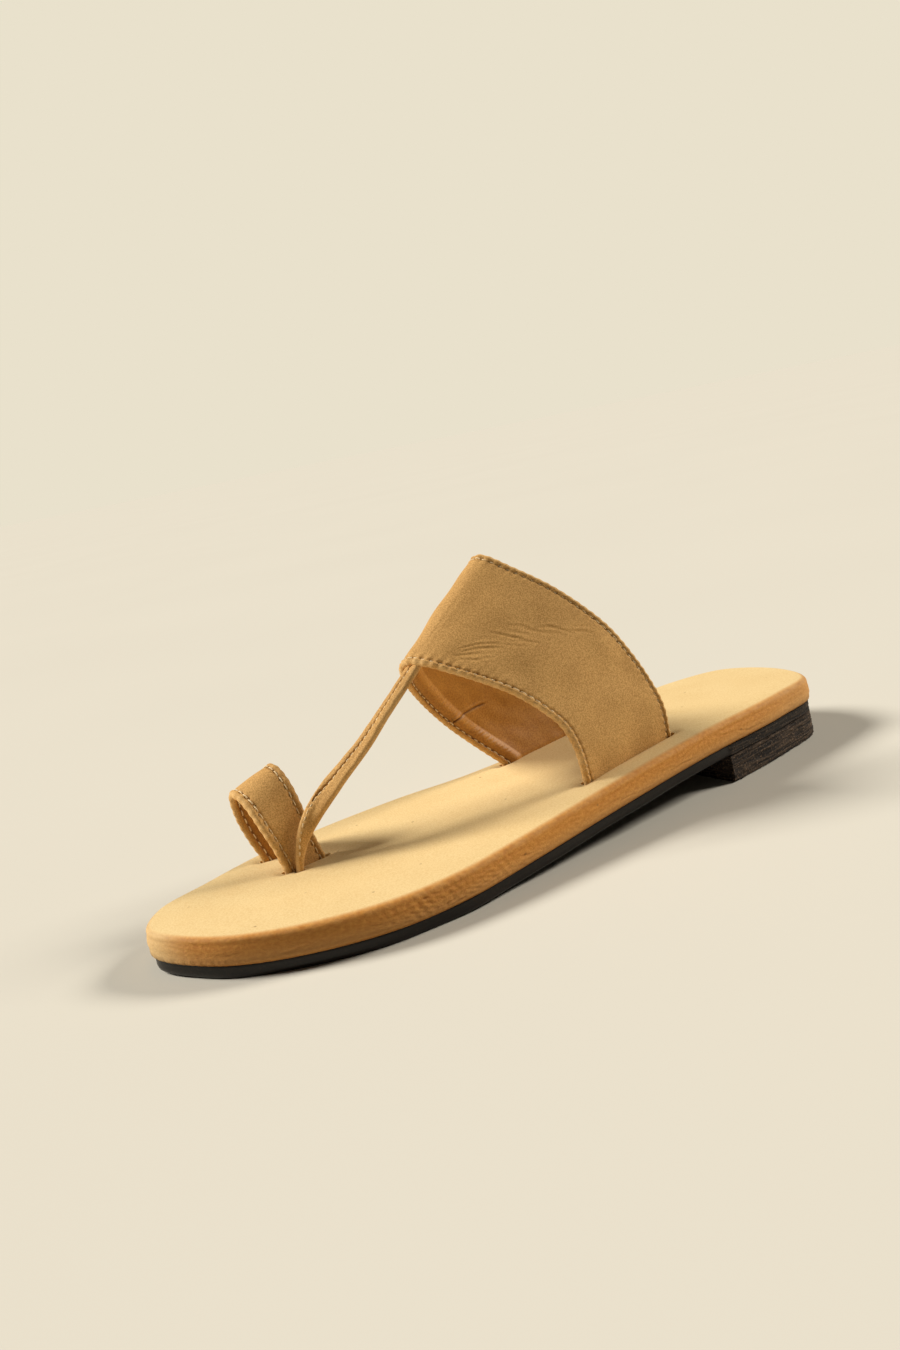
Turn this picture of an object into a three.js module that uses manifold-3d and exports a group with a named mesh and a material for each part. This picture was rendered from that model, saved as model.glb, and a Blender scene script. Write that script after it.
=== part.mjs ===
// A kolhapuri slide sandal for the left foot: a wrapped footbed on a thin rubber outsole and a low
// heel block, an instep band with a T strap running down to the toes, and a loop for the big toe.
//
// Millimetres, +Z up. +X is the outer (little toe) side, +Y the heel and -Y the toes. The origin is
// on the ground under the middle of the sandal. Places along the sandal are given as "back", the
// distance forward from the back of the heel, and heights above the footbed as "up".

import * as THREE from "three";
import Module from "manifold-3d";

const wasm = await Module();
wasm.setup();

// Driving dimensions.
const LENGTH = 250; // back of the heel to the tip of the toe
const GAP = 0.3; // between pieces that are glued together
const OUTSOLE_THICKNESS = 3.9; // with the glue line above it
const FOOTBED_THICKNESS = 9;
const HEEL_LIFT = 9.25; // outsole above the ground at the heel
const HEEL_FRONT = 60; // front face of the heel block
const HEEL_SEAT_FRONT = 57; // the sole is level behind this, and slopes down in front of it
const FOREFOOT_BACK = 192; // the sole lies flat on the ground from here forward
const TOE_SPRING_BACK = 222; // and starts to rise again here
const TOE_SPRING = 0.8; // rise at the tip of the toe
const OUTSOLE_INSET = 1.2; // outsole edge inside the footbed edge
const HEEL_INSET = 0.7; // heel block edge inside the footbed edge, at its top
const HEEL_FLARE = 0.5; // how much wider the block is at the ground, all round
const EDGE_RADIUS = 3; // rounding of the footbed's upper edge
const EDGE_CHAMFER = 0.8; // under edge of the footbed, where the wrap turns under
const BAND_WALL = 2.4; // folded upper material with its lining
const TOE_LOOP_WALL = 2.4;
const CROWN = 0.6; // how far the middle of a strap stands out from its edges
const CROWN_FADE_ROWS = 2; // rows of a strap's table over which that dies away towards a foot
const TAIL = 4; // length of strap end that is let into the footbed
const SLOT_CLEARANCE = 0.5; // round a strap end, which leans over as it comes out of its slot
const SLOT_RUN = 2.5; // a slot runs on past the strap's rear edge
const SLOT_MOUTH = 1; // the cut for a slot starts above the footbed's top

// Smoothness of the faceted solids.
const OUTLINE_STEPS = 4; // points for each row of the outline table
const BAND_STEPS = 3; // points for each row of a strap table
const ACROSS_STEPS = 4; // facets across a strap
const EDGE_STEPS = 3; // facets in the rounded edge

// Outline of the footbed seen from above: the outer and inner edge at each distance from the heel.
const HEEL_POINT = -0.8; // across, at the back of the heel
const TOE_POINT = -7.8; // across, at the tip of the toe
const OUTLINE = [
  { back: 7, outer: 20.2, inner: -21.8 },
  { back: 28, outer: 27.2, inner: -29.0 },
  { back: 60, outer: 32.5, inner: -27.6 },
  { back: 95, outer: 36.0, inner: -23.0 },
  { back: 125, outer: 37.8, inner: -27.8 },
  { back: 150, outer: 39.5, inner: -37.0 },
  { back: 175, outer: 41.3, inner: -41.3 },
  { back: 200, outer: 39.0, inner: -39.4 },
  { back: 224, outer: 28.5, inner: -31.2 },
  { back: 241, outer: 13.5, inner: -23.5 },
];

// The instep band, from its outer foot over the crest to its inner foot: its rear and front edge.
const INSTEP_BAND = [
  { rearX: 23.4, rearBack: 77.5, rearUp: 0, frontX: 26.4, frontBack: 117.0, frontUp: 0 },
  { rearX: 24.9, rearBack: 79.5, rearUp: 11, frontX: 27.4, frontBack: 119.0, frontUp: 11 },
  { rearX: 25.1, rearBack: 83.5, rearUp: 21, frontX: 26.8, frontBack: 122.2, frontUp: 20 },
  { rearX: 24.4, rearBack: 88.6, rearUp: 31.5, frontX: 24.8, frontBack: 127.5, frontUp: 27.3 },
  { rearX: 22.8, rearBack: 94.0, rearUp: 41.3, frontX: 21.6, frontBack: 134.0, frontUp: 34.5 },
  { rearX: 19.2, rearBack: 100.5, rearUp: 50.6, frontX: 16.7, frontBack: 141.3, frontUp: 40.7 },
  { rearX: 14.1, rearBack: 107.4, rearUp: 59.3, frontX: 10.8, frontBack: 148.2, frontUp: 46 },
  { rearX: 7.6, rearBack: 115.2, rearUp: 67.4, frontX: 5.4, frontBack: 153.0, frontUp: 49.4 },
  { rearX: 0.6, rearBack: 121.2, rearUp: 73.4, frontX: -0.2, frontBack: 155.3, frontUp: 50.2 },
  { rearX: -6.4, rearBack: 120.4, rearUp: 70, frontX: -6.2, frontBack: 154.4, frontUp: 47.2 },
  { rearX: -12.7, rearBack: 114.2, rearUp: 60, frontX: -12.0, frontBack: 151.0, frontUp: 42 },
  { rearX: -17.3, rearBack: 106.6, rearUp: 48.8, frontX: -16.9, frontBack: 146.3, frontUp: 36 },
  { rearX: -20.3, rearBack: 99.0, rearUp: 36.5, frontX: -20.4, frontBack: 140.0, frontUp: 27.8 },
  { rearX: -21.8, rearBack: 92.0, rearUp: 25.5, frontX: -22.1, frontBack: 133.0, frontUp: 19 },
  { rearX: -21.8, rearBack: 85.5, rearUp: 15, frontX: -21.8, frontBack: 126.2, frontUp: 11 },
  { rearX: -18.7, rearBack: 77.0, rearUp: 0, frontX: -18.3, frontBack: 117.0, frontUp: 0 },
];

// The loop for the big toe, from its outer to its inner foot.
const TOE_LOOP = [
  { rearX: -13.7, rearBack: 190.0, rearUp: 0, frontX: -11.5, frontBack: 204.7, frontUp: 0 },
  { rearX: -14.3, rearBack: 192.0, rearUp: 8, frontX: -12.3, frontBack: 206.3, frontUp: 7.2 },
  { rearX: -15.2, rearBack: 193.0, rearUp: 16.3, frontX: -14.2, frontBack: 208.4, frontUp: 14.4 },
  { rearX: -17.8, rearBack: 193.9, rearUp: 24, frontX: -17.4, frontBack: 209.7, frontUp: 20.2 },
  { rearX: -22.2, rearBack: 194.6, rearUp: 28.4, frontX: -22.0, frontBack: 210.4, frontUp: 23.3 },
  { rearX: -26.6, rearBack: 194.8, rearUp: 28.4, frontX: -26.4, frontBack: 210.5, frontUp: 23.4 },
  { rearX: -29.4, rearBack: 194.4, rearUp: 24.3, frontX: -29.5, frontBack: 210.0, frontUp: 20.6 },
  { rearX: -30.1, rearBack: 193.7, rearUp: 16, frontX: -30.8, frontBack: 208.8, frontUp: 14 },
  { rearX: -29.8, rearBack: 192.0, rearUp: 8, frontX: -30.7, frontBack: 206.7, frontUp: 6.8 },
  { rearX: -28.5, rearBack: 190.0, rearUp: 0, frontX: -29.8, frontBack: 204.2, frontUp: 0 },
];

// The T strap, from under the band's front edge down to its foot beside the toe loop. Its width is
// turned by "turn" degrees, from across the sandal (0) to along it (90), as it enters the footbed.
const T_STRAP = [
  { x: 0.6, back: 147.0, up: 53.6, width: 5.6, wall: 1.8, turn: 0 },
  { x: 0.7, back: 156.0, up: 47.1, width: 6.2, wall: 1.8, turn: 0 },
  { x: -0.6, back: 166.8, up: 38.4, width: 6.2, wall: 1.8, turn: 2 },
  { x: -2.2, back: 174.4, up: 31.6, width: 6.8, wall: 1.8, turn: 8 },
  { x: -5.2, back: 186.2, up: 22.4, width: 7.6, wall: 1.9, turn: 22 },
  { x: -7.4, back: 193.6, up: 15.1, width: 5.8, wall: 2.0, turn: 50 },
  { x: -8.6, back: 198.2, up: 8.2, width: 4.0, wall: 2.1, turn: 80 },
  { x: -9.2, back: 200.6, up: 1, width: 2.4, wall: 2.2, turn: 96 },
  { x: -9.2, back: 200.8, up: -TAIL, width: 2.4, wall: 2.2, turn: 96 },
];

const yOf = (back) => LENGTH / 2 - back;
const ramp = (t) => THREE.MathUtils.smoothstep(t, 0, 1);

// Underside of the outsole above the ground.
function soleHeight(back) {
  const heel = HEEL_LIFT * ramp((FOREFOOT_BACK - back) / (FOREFOOT_BACK - HEEL_SEAT_FRONT));
  const toe = Math.max(0, (back - TOE_SPRING_BACK) / (LENGTH - TOE_SPRING_BACK));
  return heel + TOE_SPRING * toe * toe;
}

const footbedUnder = (back) => soleHeight(back) + OUTSOLE_THICKNESS;
const footbedTop = (back) => footbedUnder(back) + FOOTBED_THICKNESS;
const onFootbed = (x, back, up) => new THREE.Vector3(x, yOf(back), footbedTop(back) + up);

// The outline as a closed curve: heel point, outer edge, toe point, inner edge. Each outer point
// has its partner on the inner edge, counted back from the end.
function outlineCurve() {
  const outer = OUTLINE.map((row) => new THREE.Vector3(row.outer, yOf(row.back), 0));
  const inner = OUTLINE.map((row) => new THREE.Vector3(row.inner, yOf(row.back), 0)).reverse();
  const heel = new THREE.Vector3(HEEL_POINT, LENGTH / 2, 0);
  const toe = new THREE.Vector3(TOE_POINT, -LENGTH / 2, 0);
  return new THREE.CatmullRomCurve3([heel, ...outer, toe, ...inner], true, "centripetal");
}

// The outline drawn in by a distance, as a ring of points; heightAt gives each point its height.
function outlineRing(inset, heightAt, rows = OUTLINE.length + 1) {
  const curve = outlineCurve();
  const count = curve.points.length * OUTLINE_STEPS;
  const last = rows * OUTLINE_STEPS;
  const ring = [];
  for (let i = 0; i < count; i += 1) {
    if (i > last && i < count - last) continue;
    const place = curve.getPoint(i / count);
    const along = curve.getTangent(i / count);
    const x = place.x + along.y * inset;
    const y = place.y - along.x * inset;
    ring.push(new THREE.Vector3(x, y, heightAt(LENGTH / 2 - y)));
  }
  return ring;
}

// One closed body from rings of points stacked upwards, closed below and above.
function stack(rings) {
  const size = rings[0].length;
  const points = rings.flat();
  const faces = [];
  const quad = (a, b, c, d) => {
    if (a !== b && b !== c) faces.push(a, b, c);
    if (a !== d && c !== d) faces.push(a, c, d);
  };
  for (let level = 0; level + 1 < rings.length; level += 1) {
    for (let i = 0; i < size; i += 1) {
      const next = (i + 1) % size;
      const low = level * size;
      quad(low + i, low + size + i, low + size + next, low + next);
    }
  }
  const top = (rings.length - 1) * size;
  for (let i = 0; i < Math.ceil(size / 2) - (size % 2); i += 1) {
    const far = (size - i) % size;
    const next = i + 1;
    const farNext = size - next;
    quad(top + next, top + i, top + far, top + farNext);
    quad(next, farNext, far, i);
  }
  return closedGeometry(points, faces);
}

function closedGeometry(points, faces) {
  const places = points.flatMap((point) => point.toArray());
  const geometry = new THREE.BufferGeometry();
  geometry.setAttribute("position", new THREE.Float32BufferAttribute(places, 3));
  geometry.setIndex(faces);
  return geometry;
}

// A strap as one closed body: rows of { from, to } edge points, given a wall along its own normals.
// The crown fades out towards the feet, which are straight.
function strapShell(rows, wallAt, crown = 0) {
  const columns = ACROSS_STEPS + 1;
  const middle = rows.map(({ from, to }) =>
    Array.from({ length: columns }, (_, j) => from.clone().lerp(to, j / ACROSS_STEPS)));
  const outside = [];
  const inside = [];
  rows.forEach((row, i) => {
    const before = middle[Math.max(i - 1, 0)];
    const after = middle[Math.min(i + 1, rows.length - 1)];
    for (let j = 0; j < columns; j += 1) {
      const along = after[j].clone().sub(before[j]);
      const across = row.to.clone().sub(row.from);
      const normal = along.cross(across).normalize();
      const v = j / ACROSS_STEPS;
      const fade = ramp((Math.min(i, rows.length - 1 - i) - 1) / (CROWN_FADE_ROWS * BAND_STEPS));
      const place = middle[i][j].clone().addScaledVector(normal, crown * fade * 4 * v * (1 - v));
      outside.push(place.clone().addScaledVector(normal, wallAt(i) / 2));
      inside.push(place.clone().addScaledVector(normal, -wallAt(i) / 2));
    }
  });
  const out = (i, j) => i * columns + j;
  const ins = (i, j) => outside.length + out(i, j);
  const faces = [];
  const quad = (a, b, c, d) => faces.push(a, b, c, a, c, d);
  const last = rows.length - 1;
  for (let i = 0; i < last; i += 1) {
    for (let j = 0; j < ACROSS_STEPS; j += 1) {
      quad(out(i, j), out(i + 1, j), out(i + 1, j + 1), out(i, j + 1));
      quad(ins(i, j + 1), ins(i + 1, j + 1), ins(i + 1, j), ins(i, j));
    }
    quad(out(i + 1, 0), out(i, 0), ins(i, 0), ins(i + 1, 0));
    quad(out(i, ACROSS_STEPS), out(i + 1, ACROSS_STEPS), ins(i + 1, ACROSS_STEPS), ins(i, ACROSS_STEPS));
  }
  for (let j = 0; j < ACROSS_STEPS; j += 1) {
    quad(out(0, j), out(0, j + 1), ins(0, j + 1), ins(0, j));
    quad(out(last, j + 1), out(last, j), ins(last, j), ins(last, j + 1));
  }
  return closedGeometry([...outside, ...inside], faces);
}

// Smooth rows through a band's table, with a straight tail below each foot.
function bandRows(table) {
  const rear = table.map((row) => onFootbed(row.rearX, row.rearBack, row.rearUp));
  const front = table.map((row) => onFootbed(row.frontX, row.frontBack, row.frontUp));
  const count = (table.length - 1) * BAND_STEPS;
  const rearCurve = new THREE.CatmullRomCurve3(rear, false, "centripetal");
  const frontCurve = new THREE.CatmullRomCurve3(front, false, "centripetal");
  const rows = [];
  for (let i = 0; i <= count; i += 1) {
    rows.push({ from: rearCurve.getPoint(i / count), to: frontCurve.getPoint(i / count) });
  }
  return [tailRow(rows[0], TAIL), ...rows, tailRow(rows[count], TAIL)];
}

function tailRow({ from, to }, depth) {
  const down = new THREE.Vector3(0, 0, -depth);
  return { from: from.clone().add(down), to: to.clone().add(down) };
}

// Smooth rows along the T strap, each turned about its own path, down to its tail in the footbed.
function tStrapRows() {
  const places = T_STRAP.map((row) => onFootbed(row.x, row.back, row.up));
  const path = new THREE.CatmullRomCurve3(places, false, "centripetal");
  const count = (T_STRAP.length - 1) * BAND_STEPS;
  const rows = [];
  for (let i = 0; i <= count; i += 1) {
    const t = i / count;
    const turn = THREE.MathUtils.degToRad(columnAt(T_STRAP, "turn", t));
    const along = path.getTangent(t);
    const side = new THREE.Vector3(Math.cos(turn), Math.sin(turn), 0);
    side.addScaledVector(along, -side.dot(along)).normalize();
    side.multiplyScalar(columnAt(T_STRAP, "width", t) / 2);
    const place = path.getPoint(t);
    rows.push({ from: place.clone().sub(side), to: place.clone().add(side) });
  }
  return rows;
}

// A column of a table, read between its rows.
function columnAt(table, column, t) {
  const place = THREE.MathUtils.clamp(t, 0, 1) * (table.length - 1);
  const row = Math.min(Math.floor(place), table.length - 2);
  return THREE.MathUtils.lerp(table[row][column], table[row + 1][column], place - row);
}

// The pocket that a strap end sits in, from above the footbed to just under the tail.
function slotPocket(from, to, wall, rearRun = SLOT_CLEARANCE) {
  const along = to.clone().sub(from).setZ(0).normalize();
  const slope = (to.z - from.z) / Math.hypot(to.x - from.x, to.y - from.y);
  along.z = slope;
  const reach = (place, run) => place.clone().addScaledVector(along, run);
  const foot = { from: reach(from, -rearRun), to: reach(to, SLOT_CLEARANCE) };
  const rows = [tailRow(foot, -SLOT_MOUTH), tailRow(foot, TAIL + GAP)];
  return strapShell(rows, () => wall + 2 * SLOT_CLEARANCE);
}

const footRow = (row) => ({
  from: onFootbed(row.rearX, row.rearBack, 0),
  to: onFootbed(row.frontX, row.frontBack, 0),
});

// The T strap's foot at the footbed, from its rear to its front edge.
function tStrapFoot() {
  const foot = T_STRAP.at(-1);
  const turn = THREE.MathUtils.degToRad(foot.turn);
  const side = new THREE.Vector3(Math.cos(turn), Math.sin(turn), 0).multiplyScalar(foot.width / 2);
  const middle = onFootbed(foot.x, foot.back, 0);
  return { from: middle.clone().add(side), to: middle.clone().sub(side) };
}

function toSolid(geometry) {
  const vertProperties = new Float32Array(geometry.getAttribute("position").array);
  const triVerts = new Uint32Array(geometry.getIndex().array);
  return new wasm.Manifold(new wasm.Mesh({ numProp: 3, vertProperties, triVerts }));
}

function toGeometry(solid) {
  const mesh = solid.getMesh();
  const places = new Float32Array(mesh.vertProperties);
  const geometry = new THREE.BufferGeometry();
  geometry.setAttribute("position", new THREE.BufferAttribute(places, 3));
  geometry.setIndex(new THREE.BufferAttribute(new Uint32Array(mesh.triVerts), 1));
  return geometry;
}

// The footbed: a board wrapped in soft material, its upper edge rounded, with pockets for the straps.
function footbed() {
  const rings = [
    outlineRing(EDGE_CHAMFER, footbedUnder),
    outlineRing(0, (back) => footbedUnder(back) + EDGE_CHAMFER),
  ];
  for (let i = 0; i <= EDGE_STEPS; i += 1) {
    const angle = (i / EDGE_STEPS) * (Math.PI / 2);
    const inset = EDGE_RADIUS * (1 - Math.cos(angle));
    const drop = EDGE_RADIUS * (1 - Math.sin(angle));
    rings.push(outlineRing(inset, (back) => footbedTop(back) - drop));
  }
  let solid = toSolid(stack(rings));
  const bandFeet = [INSTEP_BAND[0], INSTEP_BAND.at(-1)].map(footRow);
  const loopFeet = [TOE_LOOP[0], TOE_LOOP.at(-1)].map(footRow);
  for (const { from, to } of bandFeet) {
    solid = solid.subtract(toSolid(slotPocket(from, to, BAND_WALL, SLOT_RUN)));
  }
  for (const { from, to } of loopFeet) {
    solid = solid.subtract(toSolid(slotPocket(from, to, TOE_LOOP_WALL, SLOT_RUN)));
  }
  const strapFoot = tStrapFoot();
  const strapSlot = slotPocket(strapFoot.from, strapFoot.to, T_STRAP.at(-1).wall);
  return toGeometry(solid.subtract(toSolid(strapSlot)));
}

function outsole() {
  return stack([
    outlineRing(OUTSOLE_INSET, soleHeight),
    outlineRing(OUTSOLE_INSET, (back) => footbedUnder(back) - GAP),
  ]);
}

// The heel block follows the outline round the heel and ends in a straight front face.
function heelBlock() {
  const rows = OUTLINE.findIndex((row) => row.back === HEEL_FRONT) + 1;
  return stack([
    outlineRing(HEEL_INSET - HEEL_FLARE, () => 0, rows),
    outlineRing(HEEL_INSET, () => HEEL_LIFT - GAP, rows),
  ]);
}

// The upper: the instep band, with the T strap stitched under its front edge.
function upper() {
  const band = strapShell(bandRows(INSTEP_BAND), () => BAND_WALL, CROWN);
  const rows = tStrapRows();
  const strap = strapShell(rows, (i) => columnAt(T_STRAP, "wall", i / (rows.length - 1)));
  return toGeometry(toSolid(band).add(toSolid(strap)));
}

function toeLoop() {
  return strapShell(bandRows(TOE_LOOP), () => TOE_LOOP_WALL, CROWN / 2);
}

const material = (color, roughness) =>
  new THREE.MeshStandardMaterial({ color, roughness, metalness: 0 });

const pieces = [
  { name: "outsole", geometry: outsole(), material: material(0x24201e, 0.55) },
  { name: "heel_block", geometry: heelBlock(), material: material(0x2e2824, 0.8) },
  { name: "footbed", geometry: footbed(), material: material(0xe2bd83, 0.75) },
  { name: "upper", geometry: upper(), material: material(0xac8450, 0.7) },
  { name: "toe_loop", geometry: toeLoop(), material: material(0xa57d4a, 0.7) },
];

const group = new THREE.Group();
for (const piece of pieces) {
  const mesh = new THREE.Mesh(piece.geometry, piece.material);
  mesh.name = piece.name;
  group.add(mesh);
}

export default group;
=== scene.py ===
"""Looks of a kolhapuri slide sandal for the left foot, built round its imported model.

The sandal is a wrapped footbed on a thin rubber outsole and a low heel block, an instep band with a
T strap stitched under its front edge, and a loop for the big toe. Shapes are worked out in
millimetres and made into meshes in metres. +X is the outer side, -Y the toes, +Z up. Places along
the sandal are given as "back", the distance forward from the back of the heel, and heights above
the footbed as "up". Along a strap, "run" is the distance from its outer foot, and "across" the
distance from its rear edge.
"""

import logging
import math
from dataclasses import dataclass, field
from enum import Enum
from typing import Callable, NamedTuple, Sequence

import bpy
import numpy as np
from mathutils import Matrix, Vector


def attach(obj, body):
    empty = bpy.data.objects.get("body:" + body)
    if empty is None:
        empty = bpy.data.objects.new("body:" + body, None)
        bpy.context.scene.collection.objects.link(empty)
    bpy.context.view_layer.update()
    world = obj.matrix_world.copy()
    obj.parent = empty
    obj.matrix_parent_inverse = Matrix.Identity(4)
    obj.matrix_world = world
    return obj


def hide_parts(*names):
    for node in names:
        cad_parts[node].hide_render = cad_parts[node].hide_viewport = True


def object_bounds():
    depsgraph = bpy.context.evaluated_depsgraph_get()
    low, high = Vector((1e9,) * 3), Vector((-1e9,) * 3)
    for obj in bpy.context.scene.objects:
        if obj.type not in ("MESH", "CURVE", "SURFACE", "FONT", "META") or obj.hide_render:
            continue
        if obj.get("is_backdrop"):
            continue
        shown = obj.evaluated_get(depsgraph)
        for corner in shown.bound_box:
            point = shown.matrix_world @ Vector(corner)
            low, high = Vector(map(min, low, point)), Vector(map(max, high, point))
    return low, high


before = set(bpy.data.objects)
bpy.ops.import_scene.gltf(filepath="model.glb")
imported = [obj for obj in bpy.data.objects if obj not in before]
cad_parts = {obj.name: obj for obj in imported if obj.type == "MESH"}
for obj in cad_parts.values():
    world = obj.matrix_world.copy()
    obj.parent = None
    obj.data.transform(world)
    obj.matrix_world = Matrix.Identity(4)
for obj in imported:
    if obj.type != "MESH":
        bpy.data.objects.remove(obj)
CAD_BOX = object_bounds()

LOG = logging.getLogger("sandal")
MM = 0.001
BODY = "root"
BAND_WALL = 2.4
SHARP_TURN = 50.0
ROLL_STEPS = 8
Array = np.ndarray
Colour = tuple[float, float, float, float]


class Slot(Enum):
    """The material slots that the part's record names."""

    OUTSOLE = "outsole_rubber"
    HEEL = "heel_rubber"
    FOOTBED = "footbed_wrap"
    NUBUCK = "strap_nubuck"
    LINING = "strap_lining"
    THREAD = "stitching"


class Edge(Enum):
    """The two long edges of a strap."""

    REAR = "rear"
    FRONT = "front"


class Face(Enum):
    """The two faces of a strap, by the way that each looks from the strap's middle."""

    OUTER = 1.0
    INNER = -1.0


class OutlineRow(NamedTuple):
    """Outer and inner edge of the footbed at one distance from the heel."""

    back: float
    outer: float
    inner: float


class BandRow(NamedTuple):
    """Rear and front edge of a wide strap at one step from its outer to its inner foot."""

    rear_x: float
    rear_back: float
    rear_up: float
    front_x: float
    front_back: float
    front_up: float


class NarrowRow(NamedTuple):
    """The T strap at one step: its middle, width and wall, turned from across (0) to along (90).

    The seam is where its two folded edges meet, as a share of the width.
    """

    x: float
    back: float
    up: float
    width: float
    wall: float
    turn: float
    seam: float


class Crease(NamedTuple):
    """A soft fold in a strap, from one place to another, as a trough with a ridge along it."""

    run: float
    across: float
    end_run: float
    end_across: float
    depth: float
    bow: float = 0.0


# The footbed's outline. Its first and last points lie at the heel's back and at the tip of the toe.
HEEL_POINT = -0.8
TOE_POINT = -7.8
OUTLINE = (
    OutlineRow(7, 20.2, -21.8),
    OutlineRow(28, 27.2, -29.0),
    OutlineRow(60, 32.5, -27.6),
    OutlineRow(95, 36.0, -23.0),
    OutlineRow(125, 37.8, -27.8),
    OutlineRow(150, 39.5, -37.0),
    OutlineRow(175, 41.3, -41.3),
    OutlineRow(200, 39.0, -39.4),
    OutlineRow(224, 28.5, -31.2),
    OutlineRow(241, 13.5, -23.5),
)

# The straps, from the outer to the inner foot, and the T strap from the band down to its foot.
INSTEP_BAND = (
    BandRow(23.4, 77.5, 0, 26.4, 117.0, 0),
    BandRow(24.9, 79.5, 11, 27.4, 119.0, 11),
    BandRow(25.1, 83.5, 21, 26.8, 122.2, 20),
    BandRow(24.4, 88.6, 31.5, 24.8, 127.5, 27.3),
    BandRow(22.8, 94.0, 41.3, 21.6, 134.0, 34.5),
    BandRow(19.2, 100.5, 50.6, 16.7, 141.3, 40.7),
    BandRow(14.1, 107.4, 59.3, 10.8, 148.2, 46),
    BandRow(7.6, 115.2, 67.4, 5.4, 153.0, 49.4),
    BandRow(0.6, 121.2, 73.4, -0.2, 155.3, 50.2),
    BandRow(-6.4, 120.4, 70, -6.2, 154.4, 47.2),
    BandRow(-12.7, 114.2, 60, -12.0, 151.0, 42),
    BandRow(-17.3, 106.6, 48.8, -16.9, 146.3, 36),
    BandRow(-20.3, 99.0, 36.5, -20.4, 140.0, 27.8),
    BandRow(-21.8, 92.0, 25.5, -22.1, 133.0, 19),
    BandRow(-21.8, 85.5, 15, -21.8, 126.2, 11),
    BandRow(-18.7, 77.0, 0, -18.3, 117.0, 0),
)
TOE_LOOP = (
    BandRow(-13.7, 190.0, 0, -11.5, 204.7, 0),
    BandRow(-14.3, 192.0, 8, -12.3, 206.3, 7.2),
    BandRow(-15.2, 193.0, 16.3, -14.2, 208.4, 14.4),
    BandRow(-17.8, 193.9, 24, -17.4, 209.7, 20.2),
    BandRow(-22.2, 194.6, 28.4, -22.0, 210.4, 23.3),
    BandRow(-26.6, 194.8, 28.4, -26.4, 210.5, 23.4),
    BandRow(-29.4, 194.4, 24.3, -29.5, 210.0, 20.6),
    BandRow(-30.1, 193.7, 16, -30.8, 208.8, 14),
    BandRow(-29.8, 192.0, 8, -30.7, 206.7, 6.8),
    BandRow(-28.5, 190.0, 0, -29.8, 204.2, 0),
)
T_STRAP = (
    NarrowRow(0.6, 147.0, 53.6, 5.6, 1.8, 0, 0.48),
    NarrowRow(0.7, 156.0, 47.1, 6.2, 1.8, 0, 0.48),
    NarrowRow(-0.6, 166.8, 38.4, 6.2, 1.8, 2, 0.46),
    NarrowRow(-2.2, 174.4, 31.6, 6.8, 1.8, 8, 0.45),
    NarrowRow(-5.2, 186.2, 22.4, 7.6, 1.9, 22, 0.36),
    NarrowRow(-7.4, 193.6, 15.1, 5.8, 2.0, 50, 0.12),
    NarrowRow(-8.6, 198.2, 8.2, 4.0, 2.1, 80, 0.04),
    NarrowRow(-9.2, 200.6, 1, 2.4, 2.2, 96, 0.04),
    NarrowRow(-9.2, 200.8, -4, 2.4, 2.2, 96, 0.04),
)

# Folds on the band's outer face and on its lining. A negative depth raises a soft ridge.
BAND_CREASES = (
    Crease(67.0, 35.5, 59.0, 28.5, 0.22, 0.5),
    Crease(66.0, 37.0, 58.0, 29.8, 0.2, 0.5),
    Crease(67.0, 38.8, 60.0, 34.0, 0.16, -0.3),
    Crease(60.5, 38.0, 56.0, 33.5, 0.12),
    Crease(57.0, 37.5, 55.5, 35.0, 0.09),
    Crease(64.5, 26.0, 54.0, 22.0, 0.21, -0.5),
    Crease(59.0, 24.6, 53.0, 22.6, 0.16),
    Crease(62.5, 21.4, 56.0, 17.6, 0.16, 0.3),
    Crease(58.0, 19.4, 49.0, 14.6, 0.2, -0.4),
    Crease(57.5, 26.6, 48.5, 20.5, 0.15, 0.8),
    Crease(56.0, 18.0, 50.0, 11.4, 0.17, 0.4),
    Crease(54.5, 14.2, 45.5, 10.4, 0.17, -0.5),
    Crease(48.0, 11.0, 42.0, 6.0, 0.17, 0.3),
    Crease(48.5, 9.4, 45.0, 4.4, 0.14),
    Crease(46.5, 9.6, 43.5, 5.2, 0.12),
    Crease(62.5, 33.2, 55.4, 28.4, 0.14, 0.3),
    Crease(61.0, 29.6, 51.5, 23.8, 0.12, -0.4),
    Crease(53.5, 16.8, 47.0, 13.0, 0.14, 0.3),
    Crease(51.4, 13.6, 44.6, 7.6, 0.12, -0.3),
    Crease(64.2, 39.4, 57.6, 36.4, 0.12),
    Crease(60.6, 22.6, 54.8, 20.2, 0.14, -0.2),
    Crease(47.0, 36.5, 50.5, 24.5, -0.14),
    Crease(85.0, 3.0, 84.2, 38.0, 0.16, 0.4),
    Crease(81.4, 3.0, 80.2, 40.0, 0.12, -0.4),
    Crease(79.4, 14.0, 78.6, 39.0, 0.08),
    Crease(163.0, 9.0, 154.0, 13.0, 0.2, 0.4),
    Crease(165.0, 13.0, 157.0, 18.5, 0.2, -0.4),
    Crease(164.0, 20.0, 158.0, 22.0, 0.14),
    Crease(120.0, 12.0, 113.0, 20.0, 0.14, 0.5),
    Crease(123.0, 15.0, 117.0, 22.0, 0.12),
)
LINING_CREASES = (
    Crease(134.0, 36.5, 134.0, 50.0, 1.6, 0.2),
    Crease(135.8, 25.0, 134.1, 38.5, 0.6, 0.8),
    Crease(131.0, 31.0, 128.0, 22.0, 0.1),
    Crease(96.0, 37.0, 93.0, 22.0, 0.12, 0.5),
    Crease(40.0, 34.0, 44.0, 20.0, 0.12),
)


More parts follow.
